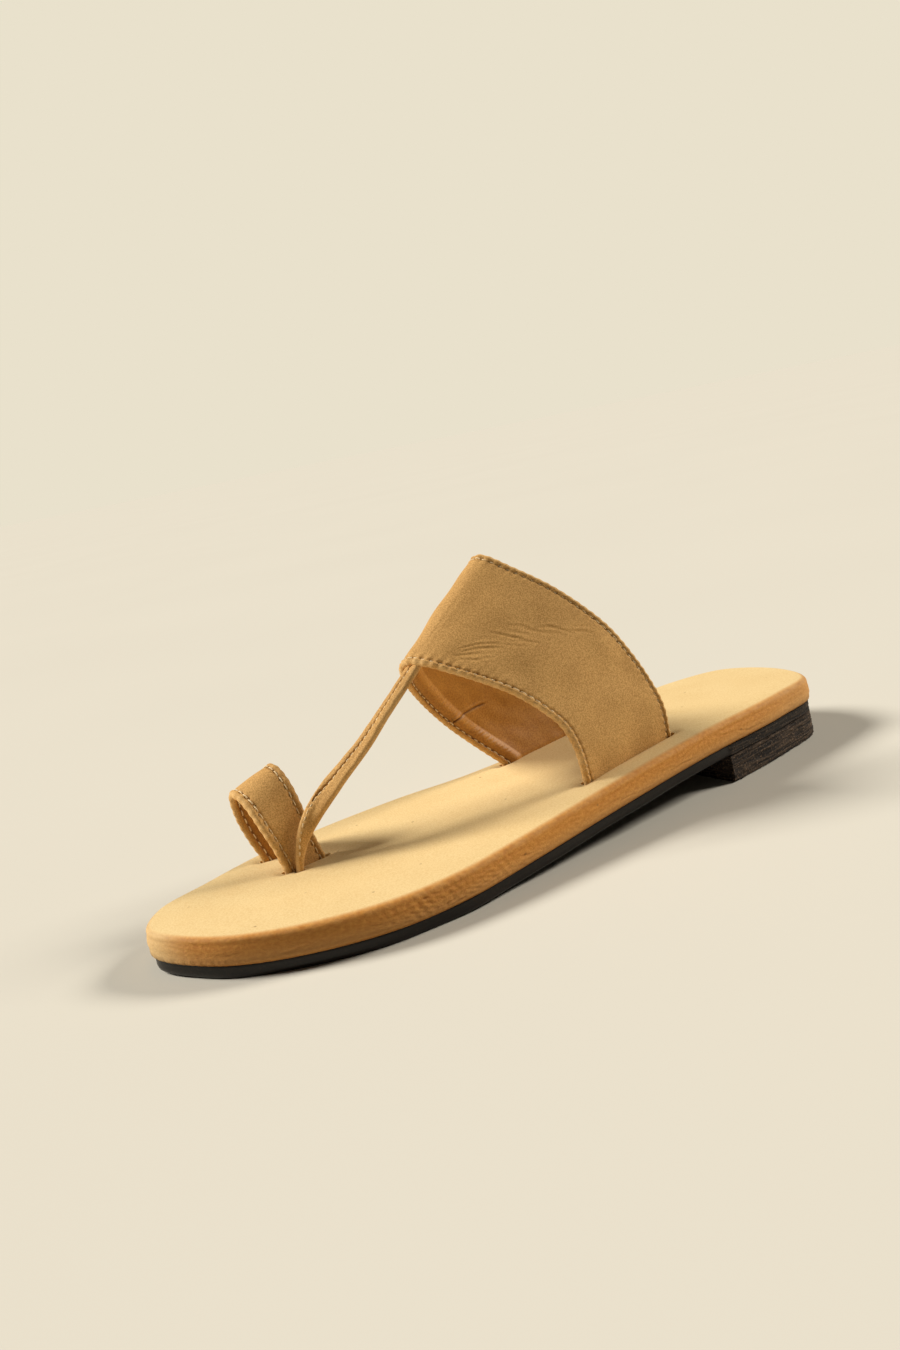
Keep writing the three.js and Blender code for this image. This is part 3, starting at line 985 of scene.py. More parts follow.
@dataclass
class Stitcher:
    """Sews rows of stitches along seam lines with one Geometry Nodes tree."""

    material: bpy.types.Material
    thread: float = 0.44
    fill: float = 0.72
    rise: float = 0.3
    seed: int = 4
    tree: bpy.types.NodeTree = field(init=False)
    sockets: dict[str, str] = field(init=False, default_factory=dict)

    def __post_init__(self) -> None:
        """Builds the tree."""
        self.tree = bpy.data.node_groups.new("stitch_row", "GeometryNodeTree")
        face = self.tree.interface
        face.new_socket("Seam", in_out="INPUT", socket_type="NodeSocketGeometry")
        for label in ("Pitch", "Stitch Length", "Thread Radius", "Rise"):
            socket = face.new_socket(label, in_out="INPUT", socket_type="NodeSocketFloat")
            self.sockets[label] = socket.identifier
        socket = face.new_socket("Seed", in_out="INPUT", socket_type="NodeSocketInt")
        self.sockets["Seed"] = socket.identifier
        socket = face.new_socket("Thread", in_out="INPUT", socket_type="NodeSocketMaterial")
        self.sockets["Thread"] = socket.identifier
        face.new_socket("Stitches", in_out="OUTPUT", socket_type="NodeSocketGeometry")
        self._fill_tree(Nodes(self.tree))

    def _fill_tree(self, nodes: Nodes) -> None:
        """Adds the nodes: an arched stitch, one at each pitch, turned along the seam."""
        into = nodes.add("NodeGroupInput").outputs
        seam = nodes.first("GeometryNodeMeshToCurve", {"Mesh": into["Seam"]})
        spaced = nodes.first(
            "GeometryNodeResampleCurve", {"Curve": seam, "Length": into["Pitch"]}, mode="LENGTH"
        )
        tangent = nodes.first("GeometryNodeInputTangent")
        along = nodes.first("FunctionNodeAlignRotationToVector", {"Vector": tangent}, axis="X")
        outward = nodes.first(
            "GeometryNodeInputNamedAttribute", {"Name": "outward"}, data_type="FLOAT_VECTOR"
        )
        upright = nodes.first(
            "FunctionNodeAlignRotationToVector",
            {"Rotation": along, "Vector": outward},
            axis="Z",
            pivot_axis="X",
        )
        skew = nodes.first(
            "FunctionNodeRandomValue",
            {"Min": (-0.05, -0.03, -0.09), "Max": (0.05, 0.03, 0.09), "Seed": into["Seed"]},
            data_type="FLOAT_VECTOR",
        )
        turned = nodes.first(
            "FunctionNodeRotateRotation",
            {"Rotation": upright, "Rotate By": skew},
            rotation_space="LOCAL",
        )
        sewn = nodes.first(
            "GeometryNodeInstanceOnPoints",
            {"Points": spaced, "Instance": self._stitch(nodes, into), "Rotation": turned},
        )
        real = nodes.first("GeometryNodeRealizeInstances", {0: sewn})
        dressed = nodes.first(
            "GeometryNodeSetMaterial", {"Geometry": real, "Material": into["Thread"]}
        )
        nodes.add("NodeGroupOutput", {0: dressed})

    def _stitch(self, nodes: Nodes, into: bpy.types.NodeOutputs) -> bpy.types.NodeSocket:
        """One stitch: a short thread that arches up and dives back into the material."""
        half = nodes.math("MULTIPLY", into["Stitch Length"], 0.5)
        dive = nodes.math("MULTIPLY", into["Rise"], -0.6)
        top = nodes.math("MULTIPLY", into["Rise"], 1.6)
        corners = {
            "Start": {"X": nodes.math("MULTIPLY", half, -1.0), "Z": dive},
            "Middle": {"Z": top},
            "End": {"X": half, "Z": dive},
        }
        ends = {
            label: nodes.first("ShaderNodeCombineXYZ", corner)
            for label, corner in corners.items()
        }
        arch = nodes.first("GeometryNodeCurveQuadraticBezier", {"Resolution": 6, **ends})
        ring = nodes.first(
            "GeometryNodeCurvePrimitiveCircle", {"Resolution": 7, "Radius": into["Thread Radius"]}
        )
        solid = nodes.first(
            "GeometryNodeCurveToMesh", {"Curve": arch, "Profile Curve": ring, "Fill Caps": True}
        )
        return nodes.first("GeometryNodeSetShadeSmooth", {0: solid})

    def sew(self, name: str, seams: Sequence[SeamLine], pitch: float) -> bpy.types.Object:
        """Makes the stitches of one strap.

        Args:
            name: Name of the piece.
            seams: The seam lines to sew.
            pitch: Distance from one stitch to the next, in millimetres.

        Returns:
            One plain mesh with every stitch.
        """
        points = np.vstack([seam.points for seam in seams])
        outward = np.vstack([seam.outward for seam in seams])
        edges: list[tuple[int, int]] = []
        start = 0
        for seam in seams:
            size = len(seam.points)
            edges += [(start + step, start + step + 1) for step in range(size - 1)]
            start += size
        mesh = bpy.data.meshes.new(name + "_line")
        mesh.from_pydata((points * MM).tolist(), edges, [])
        layer = mesh.attributes.new("outward", "FLOAT_VECTOR", "POINT")
        layer.data.foreach_set("vector", outward.astype(np.float32).ravel())
        line = add_object(name + "_line", mesh)
        sewing = line.modifiers.new("stitches", "NODES")
        sewing.node_group = self.tree
        values = {
            "Pitch": pitch * MM,
            "Stitch Length": pitch * self.fill * MM,
            "Thread Radius": self.thread / 2.0 * MM,
            "Rise": self.rise * MM,
            "Seed": self.seed,
            "Thread": self.material,
        }
        for label, value in values.items():
            sewing[self.sockets[label]] = value
        depsgraph = bpy.context.evaluated_depsgraph_get()
        sewn = bpy.data.meshes.new_from_object(line.evaluated_get(depsgraph), depsgraph=depsgraph)
        sewn.name = name
        bpy.data.objects.remove(line)
        return add_object(name, sewn)


@dataclass
class Strap:
    """The middle surface of a strap, between its two edges, from its outer to its inner foot."""

    rear: Array
    front: Array
    crown: float = 0.0

    def __post_init__(self) -> None:
        """Works out lengths, widths and directions from the edges."""
        self.width = np.linalg.norm(self.front - self.rear, axis=1)
        self.rear_run = run_lengths(self.rear)
        self.front_run = run_lengths(self.front)
        self.run = (self.rear_run + self.front_run) / 2.0
        end = np.minimum(self.run, self.run[-1] - self.run)
        self.lift = self.crown * ramp(end, 4.0, 26.0)
        self.rear_way = np.gradient(self.rear, axis=0)
        self.front_way = np.gradient(self.front, axis=0)

    def outward(self, share: Array) -> Array:
        """The way out of the surface, at shares of the width, one row of shares for each row."""
        share = share[..., None]
        along = self.rear_way[:, None] * (1.0 - share) + self.front_way[:, None] * share
        side = (self.front - self.rear)[:, None]
        normal = np.cross(along, np.broadcast_to(side, along.shape))
        return normal / np.linalg.norm(normal, axis=-1, keepdims=True)

    def place(self, across: Array, height: Array) -> Array:
        """Points of the strap.

        Args:
            across: Distances from the rear edge, a row for each row of the strap.
            height: Heights above the strap's middle surface.

        Returns:
            A point for each pair.
        """
        share = across / self.width[:, None]
        middle = self.rear[:, None] * (1.0 - share[..., None])
        middle = middle + self.front[:, None] * share[..., None]
        bulge = self.lift[:, None] * 4.0 * share * (1.0 - share)
        return middle + self.outward(share) * (height + bulge)[..., None]

    def spread_run(self, across: Array) -> Array:
        """Distance along the strap, for every place across it."""
        return np.broadcast_to(self.run[:, None], across.shape)

    def wrap_round(
        self,
        outer: Array,
        height: Array,
        half: Array | float,
        inner_columns: int,
        rear_wave: Array | float = 0.0,
        front_wave: Array | float = 0.0,
    ) -> tuple[Array, Array]:
        """Closes a section: outer face, rolled front edge, inner face and rolled rear edge.

        Args:
            outer: Places across of the outer face.
            height: Relief of the outer face.
            half: Half of the wall.
            inner_columns: Places across of the inner face.
            rear_wave: How far in the rear edge is drawn.
            front_wave: How far out the front edge stands.

        Returns:
            Places across and heights of the whole section, in order round it.
        """
        width = self.width[:, None]
        lean = np.radians(np.linspace(90.0, -90.0, ROLL_STEPS + 2)[1:-1])
        rise = np.maximum(np.sin(lean), 0.0) ** 2
        front_across = width - half + half * np.cos(lean) + front_wave * np.cos(lean)
        front_height = half * np.sin(lean) + height[:, -1:] * rise
        inner = np.linspace(0.0, 1.0, inner_columns)
        inner_across = width - half - (width - 2.0 * half) * inner
        inner_height = -half * np.ones(inner_across.shape)
        rear_across = (half - half * np.cos(lean) + rear_wave * np.cos(lean))[:, ::-1]
        rear_height = (half * np.sin(lean) + height[:, :1] * rise)[:, ::-1]
        across = np.hstack([outer, front_across, inner_across, rear_across])
        return across, np.hstack([half + height, front_height, inner_height, rear_height])

    def body(
        self, name: str, across: Array, heights: Array, rim: Array, groove: Array
    ) -> bpy.types.Object:
        """Makes the body whose section goes round these places.

        Args:
            name: Name of the piece.
            across: Places across, in order round the section.
            heights: Their heights above the middle surface.
            rim: How much rubbing and painted highlight lighten the first columns; the rest are not.
            groove: How much dirt and painted shade darken the first columns; the rest are not.

        Returns:
            The new object.
        """
        rows, columns = across.shape
        points = self.place(across, heights).reshape(-1, 3)
        uv = np.stack([self.spread_run(across), across], axis=-1).reshape(-1, 2) * MM
        values = {}
        for label, mask in (("rim", rim), ("groove", groove)):
            whole = np.zeros(across.shape)
            whole[:, : mask.shape[1]] = mask
            values[label] = whole.ravel()
        return make_mesh(name, points, tube_faces(rows, columns), values, uv)


def evenly(path: Callable[[Array], Array], spacing: float, samples: int = 801) -> Array:
    """Places from 0 to 1 that split a path into steps of even length."""
    places = np.linspace(0.0, 1.0, samples)
    run = run_lengths(path(places))
    count = int(round(run[-1] / spacing)) + 1
    return np.interp(np.linspace(0.0, run[-1], count), run, places)


@dataclass
class HemmedStrap:
    """A wide folded strap: a nubuck skin with stitched hems, and a lining inside it."""

    form: SandalForm
    name: str
    node: str
    table: Sequence[BandRow]
    wall: float = BAND_WALL
    crown: float = 0.6
    hem: float = 1.9
    pitch: float = 2.8
    spacing: float = 0.38
    hem_columns: int = 15
    middle_columns: int = 100
    inner_columns: int = 16
    tail: float = 3.5
    tail_rows: int = 4
    seed: int = 11
    puff: float = 0.34
    groove: float = 0.46
    groove_width: float = 0.5
    pucker: float = 0.28
    pucker_reach: float = 1.1
    edge_wave: float = 0.1
    waviness: float = 0.16
    stitch_height: float = -0.12
    lining_stitch_height: float = 0.04
    lining_start: float = 0.9
    lining_proud: float = 0.36
    lining_wall: float = 0.6
    lining_groove: float = 0.34
    padded_rim: float = 0.0
    padded_width: float = 5.4
    crease_scale: float = 0.58
    trough_width: float = 0.52
    ridge_place: float = 0.9
    ridge_width: float = 0.6
    creases: Sequence[Crease] = ()
    lining_creases: Sequence[Crease] = ()

    def __post_init__(self) -> None:
        """Makes the strap's middle surface, with a straight tail below each foot."""
        on_footbed = self.form.on_footbed
        rear = SmoothPath([on_footbed(r.rear_x, r.rear_back, r.rear_up) for r in self.table])
        front = SmoothPath([on_footbed(r.front_x, r.front_back, r.front_up) for r in self.table])
        places = evenly(lambda at: (rear.at(at) + front.at(at)) / 2.0, self.spacing)
        below = np.zeros((self.tail_rows, 3))
        below[:, 2] = -np.linspace(self.tail, self.tail / self.tail_rows, self.tail_rows)
        edges = []
        for path in (rear, front):
            points = path.at(places)
            edges.append(np.vstack([points[0] + below, points, points[-1] + below[::-1]]))
        self.strap = Strap(edges[0], edges[1], self.crown)

    def needle(self, edge: Edge) -> Array:
        """Goes from 1 at a needle hole to -1 in the middle of a stitch, along one edge."""
        run = self.strap.rear_run if edge is Edge.REAR else self.strap.front_run
        stitches = round(run[-1] / self.pitch)
        return np.cos(2.0 * math.pi * stitches * run / run[-1])[:, None]

    def hem_relief(self, inward: Array, needle: Array) -> tuple[Array, Array]:
        """Relief of a stitched hem.

        Args:
            inward: Distance in from the edge.
            needle: 1 at a needle hole and -1 between holes.

        Returns:
            Height, and how much the groove's painted shade darkens each place.
        """
        in_hem = np.clip(inward / self.hem, 0.0, 1.0)
        puffed = self.puff * np.sin(math.pi * in_hem) ** 0.8 * (inward < self.hem)
        groove = bump(inward, self.hem, self.groove_width)
        depth = self.groove * groove * (0.75 + 0.25 * needle)
        past = np.maximum(inward - self.hem, 0.0)
        outer_side = ramp(inward, 0.3, self.hem) * (inward <= self.hem)
        inner_side = np.exp(-past / self.pucker_reach) * (inward > self.hem)
        pucker = self.pucker * needle * (outer_side + inner_side) * (1.0 - 0.6 * groove)
        # The groove's darkening peaks at the needle holes: painted shade in the holes.
        return puffed - depth - pucker, groove * (0.22 + 0.78 * np.maximum(needle, 0.0) ** 3)

    def crease_relief(self, across: Array, creases: Sequence[Crease]) -> Array:
        """Relief of a set of folds.

        Args:
            across: Distance from the rear edge.
            creases: The folds.

        Returns:
            Height.
        """
        run = self.strap.spread_run(across) - self.tail
        height = np.zeros(across.shape)
        for crease in creases:
            way = np.array([crease.end_run - crease.run, crease.end_across - crease.across])
            length = float(np.linalg.norm(way))
            way = way / length
            along = ((run - crease.run) * way[0] + (across - crease.across) * way[1]) / length
            off = (across - crease.across) * way[0] - (run - crease.run) * way[1]
            off = off - crease.bow * 4.0 * along * (1.0 - along)
            fade = ramp(along, -0.08, 0.25) * (1.0 - ramp(along, 0.7, 1.08))
            trough = bump(off, 0.0, self.trough_width)
            ridge = bump(off, self.ridge_place, self.ridge_width)
            height += self.crease_scale * crease.depth * fade * (0.7 * ridge - trough)
        return height

    def face_columns(self, start: float) -> Array:
        """Distances across, close together over the hems and further apart between them.

        Args:
            start: First place from the rear edge, and last place from the front edge.

        Returns:
            A row of distances for each row of the strap.
        """
        zone = self.hem + 2.2
        near = np.linspace(start, zone, self.hem_columns)
        width = self.strap.width[:, None]
        between = zone + (width - 2.0 * zone) * np.linspace(0.0, 1.0, self.middle_columns)[1:-1]
        rear = np.broadcast_to(near, (len(width), len(near)))
        return np.hstack([rear, between, width - near[::-1]])

    def relief(self, across: Array) -> tuple[Array, Array]:
        """Height and groove mask of the outer face at distances across."""
        width = self.strap.width[:, None]
        rear, rear_groove = self.hem_relief(across, self.needle(Edge.REAR))
        front, front_groove = self.hem_relief(width - across, self.needle(Edge.FRONT))
        places = np.stack([self.strap.spread_run(across), across], axis=-1)
        inside = ramp(np.minimum(across, width - across), 2.0, 9.0)
        soft = self.waviness * unevenness(places, self.seed, 17.0) * inside
        height = rear + front + soft + self.crease_relief(across, self.creases)
        return height, np.maximum(rear_groove, front_groove)

    def skin(self) -> bpy.types.Object:
        """The nubuck, all the way round the section."""
        half = self.wall / 2.0
        outer = self.face_columns(half)
        height, groove = self.relief(outer)
        rear_wave = self.edge_wave * self.needle(Edge.REAR)
        front_wave = -self.edge_wave * self.needle(Edge.FRONT)
        across, heights = self.strap.wrap_round(
            outer, height, half, self.inner_columns, rear_wave, front_wave
        )
        inward = np.minimum(across, self.strap.width[:, None] - across)
        rim = 1.0 - ramp(inward, 0.2, 1.6)
        return self.strap.body(self.name, across, heights, rim, groove)

    def lining_relief(self, face: Array, groove: Array, creased: Array) -> Array:
        """How far the lining stands in from the strap's inner face.

        Args:
            face: Distances across.
            groove: How deep in the stitched groove each place is.
            creased: Relief of the folds.

        Returns:
            Height, with a padded rim along the front edge.
        """
        width = self.strap.width[:, None]
        run = self.strap.spread_run(face)
        inward = np.minimum(face, width - face)
        nearer = np.where(face < width / 2.0, self.needle(Edge.REAR), self.needle(Edge.FRONT))
        start = self.lining_start
        proud = self.lining_proud * ramp(inward, start - 0.1, start + 0.4)
        in_rim = np.clip((width - face - self.hem - 0.2) / self.padded_width, 0.0, 1.0)
        gathers = 1.0 + 0.12 * unevenness(run[:, :1], self.seed + 2, 1.5, 12)[:, None]
        height = proud - self.lining_groove * groove * (0.8 + 0.2 * nearer)
        height = height + self.padded_rim * np.sin(math.pi * in_rim) * gathers + creased
        soft = unevenness(np.stack([run, face], axis=-1), self.seed + 1, 9.0)
        return height + 0.07 * soft * ramp(inward, self.hem, self.hem + 3.0)

    def lining(self) -> bpy.types.Object:
        """The lining: a thin sheet on the inner face."""
        half = self.wall / 2.0
        start = self.lining_start
        width = self.strap.width[:, None]
        face = self.face_columns(start)
        inward = np.minimum(face, width - face)
        groove = bump(inward, self.hem, 0.9 * self.groove_width)
        creased = self.crease_relief(face, self.lining_creases)
        height = self.lining_relief(face, groove, creased)
        back = np.linspace(0.0, 1.0, 8)[1:-1]
        back_across = width - start - (width - 2.0 * start) * back
        back_height = np.full(back_across.shape, -half + self.lining_wall)
        across = np.hstack([face, back_across])
        heights = np.hstack([-half - height, back_height])
        heights[:, 0] += self.lining_wall
        heights[:, face.shape[1] - 1] += self.lining_wall
        rim = 1.0 - ramp(inward, start + 0.2, start + 0.9)
        # The groove and the fold troughs are darkened: painted shade, with some dirt in the groove.
        soiled_and_shaded = np.maximum(groove, ramp(-creased, 0.05, 0.3))
        return self.strap.body(self.name + "_lining", across, heights, rim, soiled_and_shaded)

    def seams(self) -> list[SeamLine]:
        """The stitch rows along both edges, on the outer face and on the lining."""
        width = self.strap.width[:, None]
        inward = np.full(width.shape, self.hem)
        return [
            self.seam(across, face) for across in (inward, width - inward) for face in Face
        ]

    def seam(self, across: Array, face: Face) -> SeamLine:
        """A stitch row on one face, from footbed to footbed."""
        half = self.wall / 2.0
        if face is Face.OUTER:
            height = half + self.stitch_height + self.relief(across)[0]
        else:
            height = np.full(across.shape, -half - self.lining_stitch_height)
        points = self.strap.place(across, height)[:, 0]
        outward = self.strap.outward(across / self.strap.width[:, None])[:, 0] * face.value
        shown = slice(self.tail_rows, len(points) - self.tail_rows)
        return SeamLine(points[shown], outward[shown])

    def build(self, finishes: Finishes, stitcher: Stitcher) -> None:
        """Makes and dresses the skin, the lining and the stitches."""
        finishes.dress(self.skin(), Slot.NUBUCK, self.node)
        finishes.dress(self.lining(), Slot.LINING)
        stitches = stitcher.sew(self.name + "_stitches", self.seams(), self.pitch)
        finishes.dress(stitches, Slot.THREAD)


@dataclass
class TStrap:
    """The narrow strap: folded in from both sides, its two edges meeting in a stitched seam."""

    form: SandalForm
    name: str = "t_strap"
    node: str = "upper"
    pitch: float = 2.1
    spacing: float = 0.3
    columns: int = 30
    inner_columns: int = 10
    fold_puff: float = 0.38
    overlap: float = 0.22
    groove: float = 0.55
    waviness: float = 0.1
    stitch_inset: float = 0.75
    stitch_height: float = 0.27
    hidden_rows: tuple[int, int] = (36, 30)
    seed: int = 23

    def __post_init__(self) -> None:
        """Makes the strap's middle surface from its table."""
        path = SmoothPath([self.form.on_footbed(row.x, row.back, row.up) for row in T_STRAP])
        places = evenly(path.at, self.spacing)
        numbers = np.arange(len(T_STRAP))
        rows = places * numbers[-1]

        def column(label: str) -> Array:
            """One column of the table, read along the strap."""
            return np.interp(rows, numbers, [getattr(row, label) for row in T_STRAP])

        turn = np.radians(column("turn"))
        self.seam_share = column("seam")
        self.half_wall = column("wall")[:, None] / 2.0
        middle = path.at(places)
        along = np.gradient(middle, axis=0)
        along /= np.linalg.norm(along, axis=1)[:, None]
        side = np.stack([np.cos(turn), np.sin(turn), np.zeros(len(turn))], axis=1)
        side -= along * np.einsum("ij,ij->i", side, along)[:, None]
        side *= (column("width") / 2.0 / np.linalg.norm(side, axis=1))[:, None]
        self.strap = Strap(middle - side, middle + side)

    def seam_across(self) -> Array:
        """Where the seam runs, wandering a little, as a distance across."""
        wander = 0.03 * unevenness(self.strap.run[:, None], self.seed, 22.0, 5)
        share = np.maximum(self.seam_share + wander * ramp(self.seam_share, 0.05, 0.3), 0.015)
        return share[:, None] * self.strap.width[:, None]

    def relief(self, outer: Array) -> tuple[Array, Array]:
        """Height and groove mask of the outer face, with one fold lying over the other."""
        width = self.strap.width[:, None]
        run = self.strap.run[:, None]
        stitches = round(float(self.strap.run[-1]) / self.pitch)
        needle = np.cos(2.0 * math.pi * stitches * run / run[-1])
        edge = self.seam_across() + 0.16 * needle
        past = outer - edge
        lobe = np.where(past < 0.0, outer / edge, (width - outer) / (width - edge))
        height = self.fold_puff * np.sin(math.pi * np.clip(lobe, 0.0, 1.0)) ** 0.8
        height = height + self.overlap * ramp(past, 0.0, 0.25) * (1.0 - ramp(past, 1.2, 2.6))
        # This groove also darkens the seam: painted shade.
        groove = bump(past, 0.0, 0.34)
        height = height - self.groove * groove * (0.8 + 0.2 * needle)
        places = np.stack([self.strap.spread_run(outer), outer], axis=-1)
        return height + self.waviness * unevenness(places, self.seed, 6.0), groove

    def skin(self) -> bpy.types.Object:
        """The folded strap as one closed body."""
        width = self.strap.width[:, None]
        half = self.half_wall
        outer = half + (width - 2.0 * half) * np.linspace(0.0, 1.0, self.columns)
        height, groove = self.relief(outer)
        across, heights = self.strap.wrap_round(outer, height, half, self.inner_columns)
        rim = 0.5 * (1.0 - ramp(np.minimum(across, width - across), 0.1, 1.2))
        return self.strap.body(self.name, across, heights, rim, groove)

    def seam(self) -> SeamLine:
        """The single stitch row beside the seam, without its hidden ends."""
        across = self.seam_across() + self.stitch_inset
        points = self.strap.place(across, self.half_wall + self.stitch_height)[:, 0]
        outward = self.strap.outward(across / self.strap.width[:, None])[:, 0]
        first, last = self.hidden_rows
        shown = slice(first, len(points) - last)
        return SeamLine(points[shown], outward[shown])

    def build(self, finishes: Finishes, stitcher: Stitcher) -> None:
        """Makes and dresses the strap and its stitches."""
        finishes.dress(self.skin(), Slot.NUBUCK, self.node)
        stitches = stitcher.sew(self.name + "_stitches", [self.seam()], self.pitch)
        finishes.dress(stitches, Slot.THREAD)


def ladder_points(ring: Array, columns: int) -> Array:
    """Points that fill a ring, in rows between its outer side and its inner side.

    Args:
        ring: Points round the outline, from the heel point.
        columns: Steps from one side to the other.

    Returns:
        The points, by row and column, without those of the ring.
    """
    half = len(ring) // 2
    outer = ring[1:half, None]
    inner = ring[:half:-1, None]
    share = (np.arange(1, columns) / columns)[None, :, None]
    return outer * (1.0 - share) + inner * share


def ladder_faces(
    count: int, ring_start: int, fill_start: int, columns: int
) -> list[tuple[int, ...]]:
    """Faces between the points that fill a ring.

    Args:
        count: Points in the ring.
        ring_start: Number of the ring's first point.
        fill_start: Number of the first filling point.
        columns: Steps from one side to the other.

    Returns:
        The faces, looking down.
    """
    half = count // 2
    row = np.arange(half + 1)
    table = np.zeros((half + 1, columns + 1), int)
    fill = (half - 1) * (columns - 1)
    table[1:half, 1:-1] = fill_start + np.arange(fill).reshape(half - 1, columns - 1)
    table[:, 0] = ring_start + row
    table[:, -1] = ring_start + (count - row) % count
    table[0] = ring_start
    table[half] = ring_start + half
    corners = np.stack([table[:-1, :-1], table[1:, :-1], table[1:, 1:], table[:-1, 1:]], axis=-1)
    faces = [(quad[0], quad[1], quad[2]) for quad in corners[0].tolist()]
    faces += [tuple(quad) for quad in corners[1:-1].reshape(-1, 4).tolist()]
    faces += [(quad[0], quad[1], quad[3]) for quad in corners[-1].tolist()]
    return faces


def ring_wall_faces(levels: int, count: int) -> list[tuple[int, ...]]:
    """Faces between rings of points stacked upwards, looking inwards."""
    level, index = np.meshgrid(np.arange(levels - 1), np.arange(count), indexing="ij")
    low = level * count
    beside = (index + 1) % count
    corners = [low + index, low + beside, low + count + beside, low + count + index]
    return [tuple(quad) for quad in np.stack(corners, axis=-1).reshape(-1, 4).tolist()]


def capped(
    rings: Sequence[Array], top: Array, bottom: Array
) -> tuple[Array, list[tuple[int, ...]]]:
    """Closes a stack of rings with a top and a bottom.

    Args:
        rings: The rings, from the lowest up.
        top: Points that fill the last ring, by row and column.
        bottom: Points that fill the first ring, by row and column.

    Returns:
        All points, ring by ring and then the fills, and the faces between them.
    """
    count = len(rings[0])
    points = np.vstack([*rings, top.reshape(-1, 3), bottom.reshape(-1, 3)])
    top_start = len(rings) * count
    bottom_start = top_start + top.shape[0] * top.shape[1]
    faces = ring_wall_faces(len(rings), count)
    faces += ladder_faces(count, top_start - count, top_start, top.shape[1] + 1)
    under = ladder_faces(count, 0, bottom_start, bottom.shape[1] + 1)
    return points, faces + [face[::-1] for face in under]


@dataclass
class SolePiece:
    """A body whose sides follow the footbed's outline."""

    form: SandalForm
    outline: Outline

    def __post_init__(self) -> None:
        """Reads the outline once."""
        self.edge, self.outward = self.outline.ring()
        self.edge_run = run_lengths(self.edge)
        self.edge_back = self.form.back_of(self.edge[:, 1])

    def ring(self, inset: Array, rise: Array, floor: Callable[[Array], Array]) -> Array:
        """A ring round the outline.

        Args:
            inset: How far each point is drawn in.
            rise: Height of each point above the floor surface.
            floor: Gives the floor surface's height at a distance from the heel.

        Returns:
            The ring's points.
        """
        count = len(self.edge)
        plan = self.edge - self.outward * np.broadcast_to(inset, count)[:, None]
        return np.column_stack([plan, floor(self.form.back_of(plan[:, 1])) + rise])


class Foot(NamedTuple):
    """Where a strap goes into the footbed, seen from above, with the strap's wall there.

    Its slot runs on past the strap's rear edge by rear_run.
    """

    rear: Array
    front: Array
    wall: float
    rear_run: float


class WrapRing(NamedTuple):
    """One ring of the footbed's side: its points, its height, and its three masks."""

    points: Array
    rise: Array
    side: Array
    rim: Array
    soil_and_shade: Array


